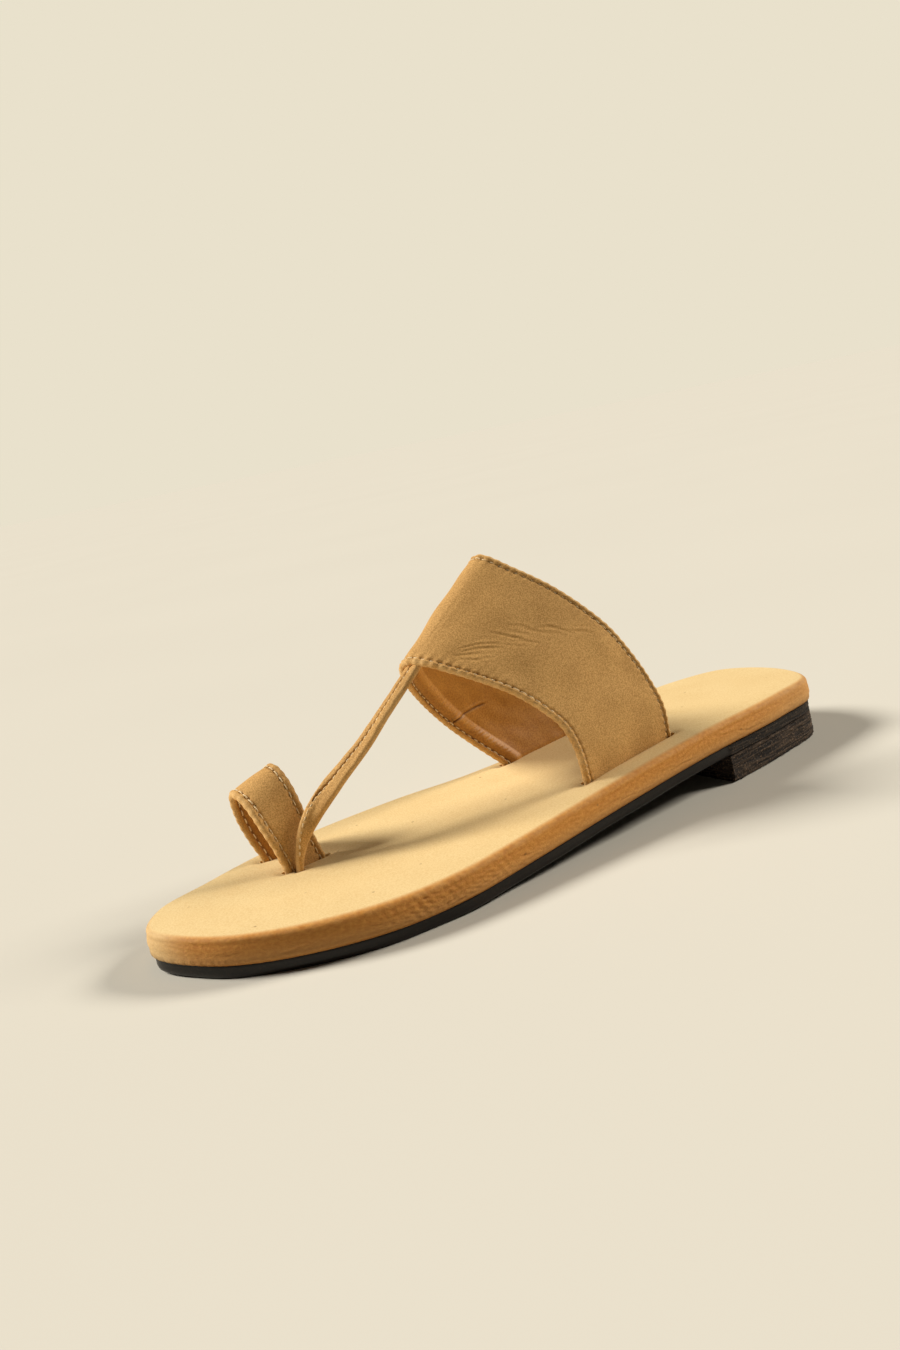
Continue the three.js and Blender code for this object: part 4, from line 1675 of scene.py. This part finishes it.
@dataclass
class Footbed(SolePiece):
    """The board with its soft top, wrapped in nubuck that is pulled round its side."""

    name: str = "footbed_wrapped"
    radius: float = 2.6
    waist_softness: float = 1.8
    toe_crispness: float = 0.5
    under_radius: float = 0.9
    crown: float = 0.45
    belly: float = 0.16
    side_levels: int = 17
    round_levels: int = 9
    under_levels: int = 3
    columns: int = 52
    under_columns: int = 6
    wrinkles: int = 110
    pleat_depth: float = 0.22
    press_depth: float = 0.5
    press_reach: float = 1.5
    # Painted shade on the top round each strap foot, where it is drawn down.
    press_shade: float = 0.7
    shade_reach: float = 0.7
    slot_clearance: float = 0.35
    slot_run: float = 2.2
    slot_depth: float = 4.2
    slot_taper: float = 0.35
    slot_mouth: float = 4.0
    seed: int = 31

    def __post_init__(self) -> None:
        """Works out where the edge is soft, where painted light pales the side, and where painted
        shade darkens it.
        """
        super().__post_init__()
        back = self.edge_back
        x = self.edge[:, 0]
        waist = bump(back, 105.0, 42.0) * ramp(-x, 5.0, 20.0)
        softened = self.radius + self.waist_softness * waist
        self.edge_radius = softened - self.toe_crispness * ramp(back, 200.0, 245.0)
        # The side's colour thins at the toe tip and the back of the heel, where the lamps strike:
        # painted light.
        toe_tip = ramp(back, 226.0, 243.0) * (1.0 - ramp(x, -4.0, 12.0))
        self.painted_side_shade = 1.0 - 0.66 * toe_tip - 0.2 * (1.0 - ramp(back, 4.0, 55.0))
        # Painted shade on the side from the ball forward, which faces away from the lamps.
        self.painted_ball_shade = 0.45 * ramp(back, 135.0, 185.0) * (1.0 - toe_tip)
        self.top = self.form.footbed_thickness - self.crown

    def feet(self) -> list[Foot]:
        """The strap ends that the footbed takes in."""
        y_of = self.form.y_of
        feet = []
        for table in (INSTEP_BAND, TOE_LOOP):
            for row in (table[0], table[-1]):
                rear = np.array([row.rear_x, float(y_of(row.rear_back))])
                front = np.array([row.front_x, float(y_of(row.front_back))])
                feet.append(Foot(rear, front, BAND_WALL, self.slot_run))
        last = T_STRAP[-1]
        turn = math.radians(last.turn)
        reach = np.array([math.cos(turn), math.sin(turn)]) * last.width / 2.0
        middle = np.array([last.x, float(y_of(last.back))])
        feet.append(Foot(middle + reach, middle - reach, last.wall, self.slot_clearance))
        return feet

    def pressed_in(self, plan: Array) -> tuple[Array, Array]:
        """How far the top is drawn down beside each strap.

        Args:
            plan: Places on the top, seen from above.

        Returns:
            Depth, and how much painted shade darkens the top there.
        """
        depth = np.zeros(plan.shape[:-1])
        soil_and_shade = np.zeros(plan.shape[:-1])
        for foot in self.feet():
            way = foot.front - foot.rear
            length = float(np.linalg.norm(way))
            share = np.clip((plan - foot.rear) @ way / length**2, -0.04, 1.02)
            away = np.linalg.norm(plan - foot.rear - share[..., None] * way, axis=-1)
            away = np.maximum(away - foot.wall / 2.0, 0.0)
            depth = np.maximum(depth, self.press_depth * bump(away, 0.0, self.press_reach))
            soil_and_shade = np.maximum(soil_and_shade, self.press_shade * bump(away, 0.0, self.shade_reach))
        return depth, soil_and_shade

    def side_relief(self, rise: float) -> Array:
        """Creases and waves of the wrap on the side.

        Args:
            rise: Height on the side.

        Returns:
            How far each point of the outline stands out.
        """
        run = self.edge_run
        high = self.form.footbed_thickness
        level = np.full(len(run), rise)
        fade = float(ramp(rise, 0.3, 1.6) * (1.0 - ramp(rise, high - 2.2, high - 0.6)))
        total = 0.05 * unevenness(np.column_stack([run / 7.0, level]), 5, 3.2)
        pull = 0.17 + 0.09 * unevenness(run[:, None], 8, 40.0, 6)
        total = total - pull * bump(rise, high - 3.1, 0.75)
        ball = bump(self.edge_back, 178.0, 30.0) * ramp(self.edge[:, 0], 10.0, 25.0)
        crumpled = unevenness(np.column_stack([run, level * 1.6]), 9, 1.9, 12)
        total = total + 0.15 * ball * crumpled
        return (total + self.wrinkled(rise)) * fade

    def wrinkled(self, rise: float) -> Array:
        """Short level wrinkles scattered over the side, at one height on it."""
        dice = np.random.default_rng(self.seed)
        lap = self.edge_run[-1]
        total = np.zeros(len(self.edge_run))
        for _ in range(self.wrinkles):
            start = dice.uniform(0.0, lap)
            half = dice.uniform(2.0, 7.0)
            level = dice.uniform(1.0, self.form.footbed_thickness - 2.6)
            slope = dice.normal(0.0, 0.12)
            depth = dice.uniform(0.05, 0.2)
            off = (self.edge_run - start + lap / 2.0) % lap - lap / 2.0
            line = rise - level - slope * off - 0.2 * np.sin(off / 2.3 + start)
            body = (1.0 - ramp(np.abs(off), half * 0.3, half)) * depth
            total += body * (0.7 * bump(line, 0.5, 0.35) - bump(line, 0.0, 0.3))
        return total

    def pleats(self, rise: float) -> Array:
        """Small gathers where the wrap turns under, closest together round the toe and heel."""
        run = self.edge_run
        low = float(1.0 - ramp(rise, 0.4, 2.6))
        toe = ramp(self.edge_back, 205.0, 240.0)
        heel = 0.6 * (1.0 - ramp(self.edge_back, 4.0, 30.0))
        waves = np.sin(run * 2.6 + 1.5 * np.sin(run * 0.37)) * np.sin(run * 0.9 + 1.0)
        return self.pleat_depth * low * np.maximum(toe, heel) * waves

    def wrap_ring(
        self, inset: Array, rise: Array | float, side: float, rim: float, soil_and_shade: Array | float
    ) -> WrapRing:
        """A ring of the side.

        Args:
            inset: How far it is drawn in from the outline.
            rise: Its height above the footbed's underside.
            side: Share of the side's colour.
            rim: How much rubbing and painted highlight lighten it.
            soil_and_shade: How much dirt and painted shade darken it.

        Returns:
            The ring.
        """
        count = len(self.edge)
        points = self.ring(inset, rise, self.form.footbed_under)
        height = np.broadcast_to(rise, count)
        return WrapRing(
            points, height, side * self.painted_side_shade, np.full(count, rim), np.full(count, soil_and_shade)
        )

    def under_rings(self) -> list[WrapRing]:
        """Rings of the rounded lower edge, where the wrap turns under."""
        rings = []
        for turn in np.linspace(0.0, 90.0, self.under_levels + 1)[:-1]:
            lean = math.radians(turn)
            gathers = self.pleats(0.0) * math.sin(lean)
            inset = self.under_radius * (1.0 - math.sin(lean)) - gathers
            rise = self.under_radius * (1.0 - math.cos(lean))
            rings.append(self.wrap_ring(inset, rise, side=1.0, rim=0.0, soil_and_shade=0.8))
        return rings

    def side_rings(self) -> list[WrapRing]:
        """Rings of the upright side: darker along the bottom, painted light lower down, painted shade
        round the ball.
        """
        rings = []
        for share in np.linspace(0.0, 1.0, self.side_levels):
            rise = self.under_radius + (self.top - self.edge_radius - self.under_radius) * share
            level = float(np.mean(rise))
            stand = self.side_relief(level) + self.pleats(level)
            stand = stand + self.belly * math.sin(math.pi * share)
            # Less side colour lower down is painted light, lifting the shade there.
            side = 0.84 + 0.16 * float(ramp(share, 0.1, 0.9))
            # Darker along the bottom of the side.
            soil_and_shade = 0.5 * (1.0 - float(ramp(level, 0.9, 2.4)))
            # Painted shade round the ball, added to the darkening along the bottom.
            soil_and_shade = soil_and_shade + self.painted_ball_shade * float(ramp(share, 0.0, 0.15))
            rings.append(self.wrap_ring(-stand, rise, side, 0.0, soil_and_shade))
        return rings

    def round_rings(self) -> list[WrapRing]:
        """Rings of the rounded upper edge, where the side's colour fades into the top's."""
        rings = []
        for turn in np.linspace(0.0, 90.0, self.round_levels + 1)[1:]:
            lean = math.radians(turn)
            inset = self.edge_radius * (1.0 - math.cos(lean))
            rise = self.top - self.edge_radius * (1.0 - math.sin(lean))
            stand = self.side_relief(float(np.mean(rise))) * math.cos(lean)
            fade = 1.0 - turn / 90.0
            # The side's painted shade fades out across the rounding.
            side = float(ramp(fade, 0.02, 0.46))
            # Rubbing and painted highlight lighten the rounding's middle.
            rim = 0.4 * math.sin(2.0 * lean) ** 2
            # The painted shade round the ball reaches up the rounding.
            soil_and_shade = self.painted_ball_shade * float(ramp(fade, 0.3, 0.9))
            rings.append(self.wrap_ring(inset - stand, rise, side, rim, soil_and_shade))
        return rings

    def top_fill(self, ring: Array) -> tuple[Array, Array]:
        """Points of the top inside its ring, domed and drawn down at the straps, and their painted
        shade.
        """
        fill = ladder_points(ring, self.columns)
        share = np.arange(1, self.columns) / self.columns
        dome = 1.0 - np.abs(2.0 * share - 1.0) ** 5.0
        back = self.form.back_of(fill[..., 1])
        ends = ramp(back, 3.0, 16.0) * (1.0 - ramp(back, 232.0, 247.0))
        fill[..., 2] += self.crown * dome * ends
        fill[..., 2] += 0.13 * unevenness(fill[..., :2], self.seed, 24.0) * dome
        pressed, soil_and_shade = self.pressed_in(fill[..., :2])
        fill[..., 2] -= pressed
        return fill, soil_and_shade.ravel()

    def mesh(self) -> bpy.types.Object:
        """The footbed before its slots are cut."""
        rings = [*self.under_rings(), *self.side_rings(), *self.round_rings()]
        top, top_shade = self.top_fill(rings[-1].points)
        bottom = ladder_points(rings[0].points, self.under_columns)
        points, faces = capped([ring.points for ring in rings], top, bottom)
        ring_points = len(rings) * len(self.edge)
        clean = np.zeros(len(points) - ring_points)
        fill_shade = np.concatenate([top_shade, np.zeros(len(clean) - len(top_shade))])
        values = {
            "side": np.concatenate([*(ring.side for ring in rings), clean]),
            "rim": np.concatenate([*(ring.rim for ring in rings), clean]),
            # The groove mask carries the darkening along the bottom and the painted shade round the
            # ball and the straps.
            "groove": np.concatenate([*(ring.soil_and_shade for ring in rings), fill_shade]),
        }
        ring_uv = [np.column_stack([self.edge_run, ring.rise]) for ring in rings]
        uv = np.vstack([*ring_uv, points[ring_points:, :2]]) * MM
        return make_mesh(self.name, points, faces, values, uv)

    def slot_cutter(self, foot: Foot) -> bpy.types.Object:
        """A thin upright plug, as long and wide as one slot."""
        rear = foot.rear
        way = foot.front - rear
        length = float(np.linalg.norm(way))
        way = way / length
        side = np.array([-way[1], way[0]])
        half = foot.wall / 2.0 + self.slot_clearance
        plan = []
        for turn in np.linspace(-90.0, 90.0, 7):
            lean = math.radians(turn)
            reach = self.slot_clearance + half * 0.25 * math.cos(lean)
            plan.append(rear + way * (length + reach) + side * half * math.sin(lean))
        tip = rear - way * foot.rear_run
        narrow = side * half * self.slot_taper
        plan += [rear + side * half, tip + narrow, tip - narrow, rear - side * half]
        back = self.form.back_of((foot.rear[1] + foot.front[1]) / 2.0)
        top = float(self.form.footbed_top(back))
        low = [(*place, top - self.slot_depth) for place in plan]
        high = [(*place, top + self.slot_mouth) for place in plan]
        count = len(plan)
        faces = ring_wall_faces(2, count)
        faces.append(tuple(range(count - 1, -1, -1)))
        faces.append(tuple(range(count, 2 * count)))
        return make_mesh("slot_cutter", np.array(low + high), faces)

    def cut_slots(self, piece: bpy.types.Object) -> None:
        """Cuts a slot for each strap end, and leaves a plain mesh."""
        for foot in self.feet():
            cutter = self.slot_cutter(foot)
            cut = piece.modifiers.new("slot", "BOOLEAN")
            cut.operation = "DIFFERENCE"
            cut.solver = "EXACT"
            cut.object = cutter
            depsgraph = bpy.context.evaluated_depsgraph_get()
            mesh = bpy.data.meshes.new_from_object(
                piece.evaluated_get(depsgraph), depsgraph=depsgraph, preserve_all_data_layers=True
            )
            piece.modifiers.remove(cut)
            piece.data = mesh
            bpy.data.objects.remove(cutter)
        piece.data.set_sharp_from_angle(angle=math.radians(SHARP_TURN))

    def build(self, finishes: Finishes) -> None:
        """Makes the footbed, cuts its slots and dresses it."""
        piece = self.mesh()
        self.cut_slots(piece)
        finishes.dress(piece, Slot.FOOTBED, "footbed")


@dataclass
class Outsole(SolePiece):
    """The thin black rubber sheet under the whole footbed."""

    name: str = "outsole_sheet"
    inset: float = 1.2
    heel_inset: float = 0.7
    edge_radius: float = 0.6
    round_levels: int = 4
    side_levels: int = 9
    columns: int = 26
    top_columns: int = 4
    waviness: float = 0.1
    seed: int = 43

    def rings(self, heel: Array) -> list[Array]:
        """Rings round the sheet, from its rounded lower edge up.

        Args:
            heel: 1 where the sheet lies on the heel block, and 0 in front of it.

        Returns:
            The rings.
        """
        form = self.form
        high = form.outsole_thickness - form.gap
        wave = self.waviness * unevenness(self.edge_run[:, None], 14, 26.0, 6) * (1.0 - heel)
        inset = self.inset + (self.heel_inset - self.inset) * heel + wave
        radius = self.edge_radius * (1.0 - 0.7 * heel)
        rings = []
        for turn in np.linspace(0.0, 90.0, self.round_levels):
            lean = math.radians(turn)
            rise = radius * (1.0 - math.cos(lean))
            rings.append(self.ring(inset + radius * (1.0 - math.sin(lean)), rise, form.sole_height))
        dice = np.random.default_rng(self.seed)
        for share in np.linspace(0.0, 1.0, self.side_levels)[1:]:
            rise = radius + (high - radius) * share
            lip = 0.18 * math.sin(math.pi * share) + 0.05 * math.sin(9.0 * share)
            lip = lip * (1.0 - heel) + dice.uniform(-0.1, 0.1) * heel
            rings.append(self.ring(inset - lip, rise, form.sole_height))
        return rings

    def build(self, finishes: Finishes) -> None:
        """Makes and dresses the outsole."""
        front = self.form.heel_front
        heel = 1.0 - ramp(self.edge_back, front - 1.0, front + 1.5)
        rings = self.rings(heel)
        top = ladder_points(rings[-1], self.top_columns)
        bottom = ladder_points(rings[0], self.columns)
        points, faces = capped(rings, top, bottom)
        plain = np.zeros(len(points) - len(rings) * len(heel))
        sanded = np.concatenate([np.tile(heel, len(rings)), plain])
        piece = make_mesh(self.name, points, faces, {"sanded": sanded})
        finishes.dress(piece, Slot.OUTSOLE, "outsole")


@dataclass
class HeelBlock(SolePiece):
    """The low rubber block: sanded round the heel, with a straight front face."""

    name: str = "heel_block_rubber"
    inset: float = 0.7
    flare: float = 0.5
    levels: int = 24
    front_columns: int = 40
    corner: float = 0.5
    worn_inset: float = 0.35
    sanding: float = 0.16
    drift: float = 0.1
    tooth: float = 0.07
    ragged: float = 0.35
    seed: int = 41

    def plan_ring(self, inset: float, rise: float, rough: Array) -> Array:
        """A ring round the block: the outline behind, and a straight line in front.

        Args:
            inset: How far the ring is drawn in.
            rise: Its height above the ground.
            rough: How far each point of the outline is pushed in.

        Returns:
            The ring's points, the same number for every ring.
        """
        keep = self.edge_back <= self.form.heel_front
        plan = self.edge - self.outward * (inset + rough)[:, None]
        half = len(plan) // 2
        outer = plan[:half][keep[:half]]
        inner = plan[half:][keep[half:]]
        share = np.linspace(0.0, 1.0, self.front_columns + 1)[1:-1, None]
        front = outer[-1] * (1.0 - share) + inner[0] * share
        front[:, 1] += 0.06 * np.sin(front[:, 0] * 2.1 + rise * 3.0)
        ring = np.vstack([outer, front, inner])
        return np.column_stack([ring, np.full(len(ring), rise)])

    def build(self, finishes: Finishes) -> None:
        """Makes and dresses the block, its lowest ring a little ragged."""
        high = self.form.heel_lift - self.form.gap
        dice = np.random.default_rng(self.seed)
        rings = []
        for share in np.linspace(0.0, 1.0, self.levels):
            line = dice.uniform(-self.sanding, self.sanding)
            pattern = int(dice.integers(1000))
            drift = self.drift * unevenness(self.edge_run[:, None], pattern, 6.0, 5)
            drift = drift + dice.normal(0.0, self.tooth, len(drift))
            worn = 1.0 - ramp(share * high, 0.0, self.corner)
            inset = self.inset - self.flare * (1.0 - share) + self.worn_inset * float(worn)
            rings.append(self.plan_ring(inset, high * share, line + drift))
        count = len(rings[0])
        step = high / self.levels
        rings[0][:, 2] += np.abs(dice.normal(0.0, self.ragged, count)).clip(0.0, 0.9 * step)
        points = np.vstack(rings)
        faces = ring_wall_faces(self.levels, count)
        faces.append(tuple(range(count)))
        faces.append(tuple(range(self.levels * count - 1, (self.levels - 1) * count - 1, -1)))
        piece = make_mesh(self.name, points, faces, {"sanded": np.ones(len(points))})
        finishes.dress(piece, Slot.HEEL, "heel_block")


class SoftLight(NamedTuple):
    """A far soft light: the way it lies from the sandal, its strength, softness and colour."""

    name: str
    azimuth: float
    elevation: float
    strength: float
    softness: float
    colour: tuple[float, float, float]


@dataclass(frozen=True)
class Studio:
    """A plain pale floor, two soft lights and the camera."""

    azimuth: float = 59.33
    elevation: float = 11.19
    roll: float = -11.47
    distance: float = 0.39778
    target: tuple[float, float, float] = (-0.01939, -0.00465, 0.05324)
    lens: float = 32.0
    sensor: float = 36.0
    backdrop: Colour = srgb(201, 198, 189)
    backdrop_cloud: Colour = srgb(200, 197, 188)
    wall: Colour = srgb(233, 225, 204)
    floor_radius: float = 60.0
    floor_sides: int = 96
    room: tuple[float, float, float] = (1.0, 0.88, 0.7)
    room_strength: float = 0.05
    lights: tuple[SoftLight, ...] = (
        SoftLight("key", 321.0, 38.0, 4.35, 20.0, (1.0, 0.95, 0.86)),
        SoftLight("heel_light", 160.0, 33.0, 3.0, 20.0, (1.0, 0.93, 0.82)),
    )

    @staticmethod
    def way(azimuth: float, elevation: float) -> Vector:
        """The way from the sandal to an azimuth (0 is its toe end) and an elevation."""
        turn, lift = math.radians(azimuth), math.radians(elevation)
        flat = math.cos(lift)
        return Vector((math.sin(turn) * flat, -math.cos(turn) * flat, math.sin(lift)))

    def camera(self) -> None:
        """Places the camera, rolled about its own line of sight."""
        back = self.way(self.azimuth, self.elevation)
        right = Vector((0.0, 0.0, 1.0)).cross(back).normalized()
        up = back.cross(right)
        roll = math.radians(self.roll)
        rolled_right = right * math.cos(roll) + up * math.sin(roll)
        rolled_up = up * math.cos(roll) - right * math.sin(roll)
        data = bpy.data.cameras.new("camera")
        data.lens = self.lens
        data.sensor_width = self.sensor
        data.clip_start = 0.01
        data.clip_end = 50.0
        camera = add_object("camera", data)
        axes = Matrix((rolled_right, rolled_up, back)).transposed().to_4x4()
        camera.matrix_world = Matrix.Translation(Vector(self.target) + back * self.distance) @ axes
        bpy.context.scene.camera = camera

    def floor(self) -> None:
        """A wide flat floor."""
        turns = 2.0 * math.pi * np.arange(self.floor_sides) / self.floor_sides
        reach = self.floor_radius
        points = [(reach * math.cos(turn), reach * math.sin(turn), 0.0) for turn in turns]
        mesh = bpy.data.meshes.new("floor")
        mesh.from_pydata(points, [], [tuple(range(self.floor_sides))])
        material, nodes, shader = start_material("backdrop_paper")
        cloud = nodes.spread(nodes.noise(nodes.coordinates(), 3.0, 2.0), 0.3, 0.7)
        colour = nodes.mix(cloud, self.backdrop, self.backdrop_cloud)
        look = {"Base Color": colour, "Roughness": 1.0, "Specular IOR Level": 0.0}
        nodes.feed_all(shader, look)
        mesh.materials.append(material)
        add_object("floor", mesh)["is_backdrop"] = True

    def light(self) -> None:
        """Sets the soft lights, and the light of the room."""
        for light in self.lights:
            data = bpy.data.lights.new(light.name, "SUN")
            data.energy = light.strength
            data.angle = math.radians(light.softness)
            data.color = light.colour
            lamp = add_object(light.name, data)
            way = self.way(light.azimuth, light.elevation)
            lamp.location = way
            lamp.rotation_euler = (-way).to_track_quat("-Z", "Y").to_euler()
        room = bpy.data.worlds.new("room")
        room.use_nodes = True
        nodes = Nodes(room.node_tree)
        sky = room.node_tree.nodes["Background"]
        seen = nodes.add("ShaderNodeLightPath").outputs["Is Camera Ray"]
        dim = tuple(value * self.room_strength for value in self.room)
        nodes.join(nodes.mix(seen, (*dim, 1.0), self.wall), sky.inputs["Color"])
        bpy.context.scene.world = room

    def build(self) -> None:
        """Sets up the whole studio."""
        self.camera()
        self.floor()
        self.light()
        bpy.context.scene.view_settings.view_transform = "Standard"


def main() -> None:
    """Builds the sandal piece by piece, then the studio."""
    logging.basicConfig(level=logging.INFO, format="%(name)s: %(message)s")
    form = SandalForm()
    outline = Outline(form)
    finishes = Finishes()
    stitcher = Stitcher(finishes.of[Slot.THREAD])
    Studio().build()
    Outsole(form, outline).build(finishes)
    HeelBlock(form, outline).build(finishes)
    Footbed(form, outline).build(finishes)
    band = HemmedStrap(
        form,
        "instep_band",
        "upper",
        INSTEP_BAND,
        padded_rim=0.8,
        creases=BAND_CREASES,
        lining_creases=LINING_CREASES,
    )
    band.build(finishes, stitcher)
    TStrap(form).build(finishes, stitcher)
    loop = HemmedStrap(
        form,
        "toe_loop_strap",
        "toe_loop",
        TOE_LOOP,
        crown=0.3,
        hem=2.3,
        middle_columns=26,
        seed=17,
        pucker=0.16,
        stitch_height=0.3,
    )
    loop.build(finishes, stitcher)
    boxes = [[list(corner) for corner in box] for box in (CAD_BOX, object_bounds())]
    LOG.info("CAD box %s, visual box %s", boxes[0], boxes[1])


if __name__ == "__main__":
    main()
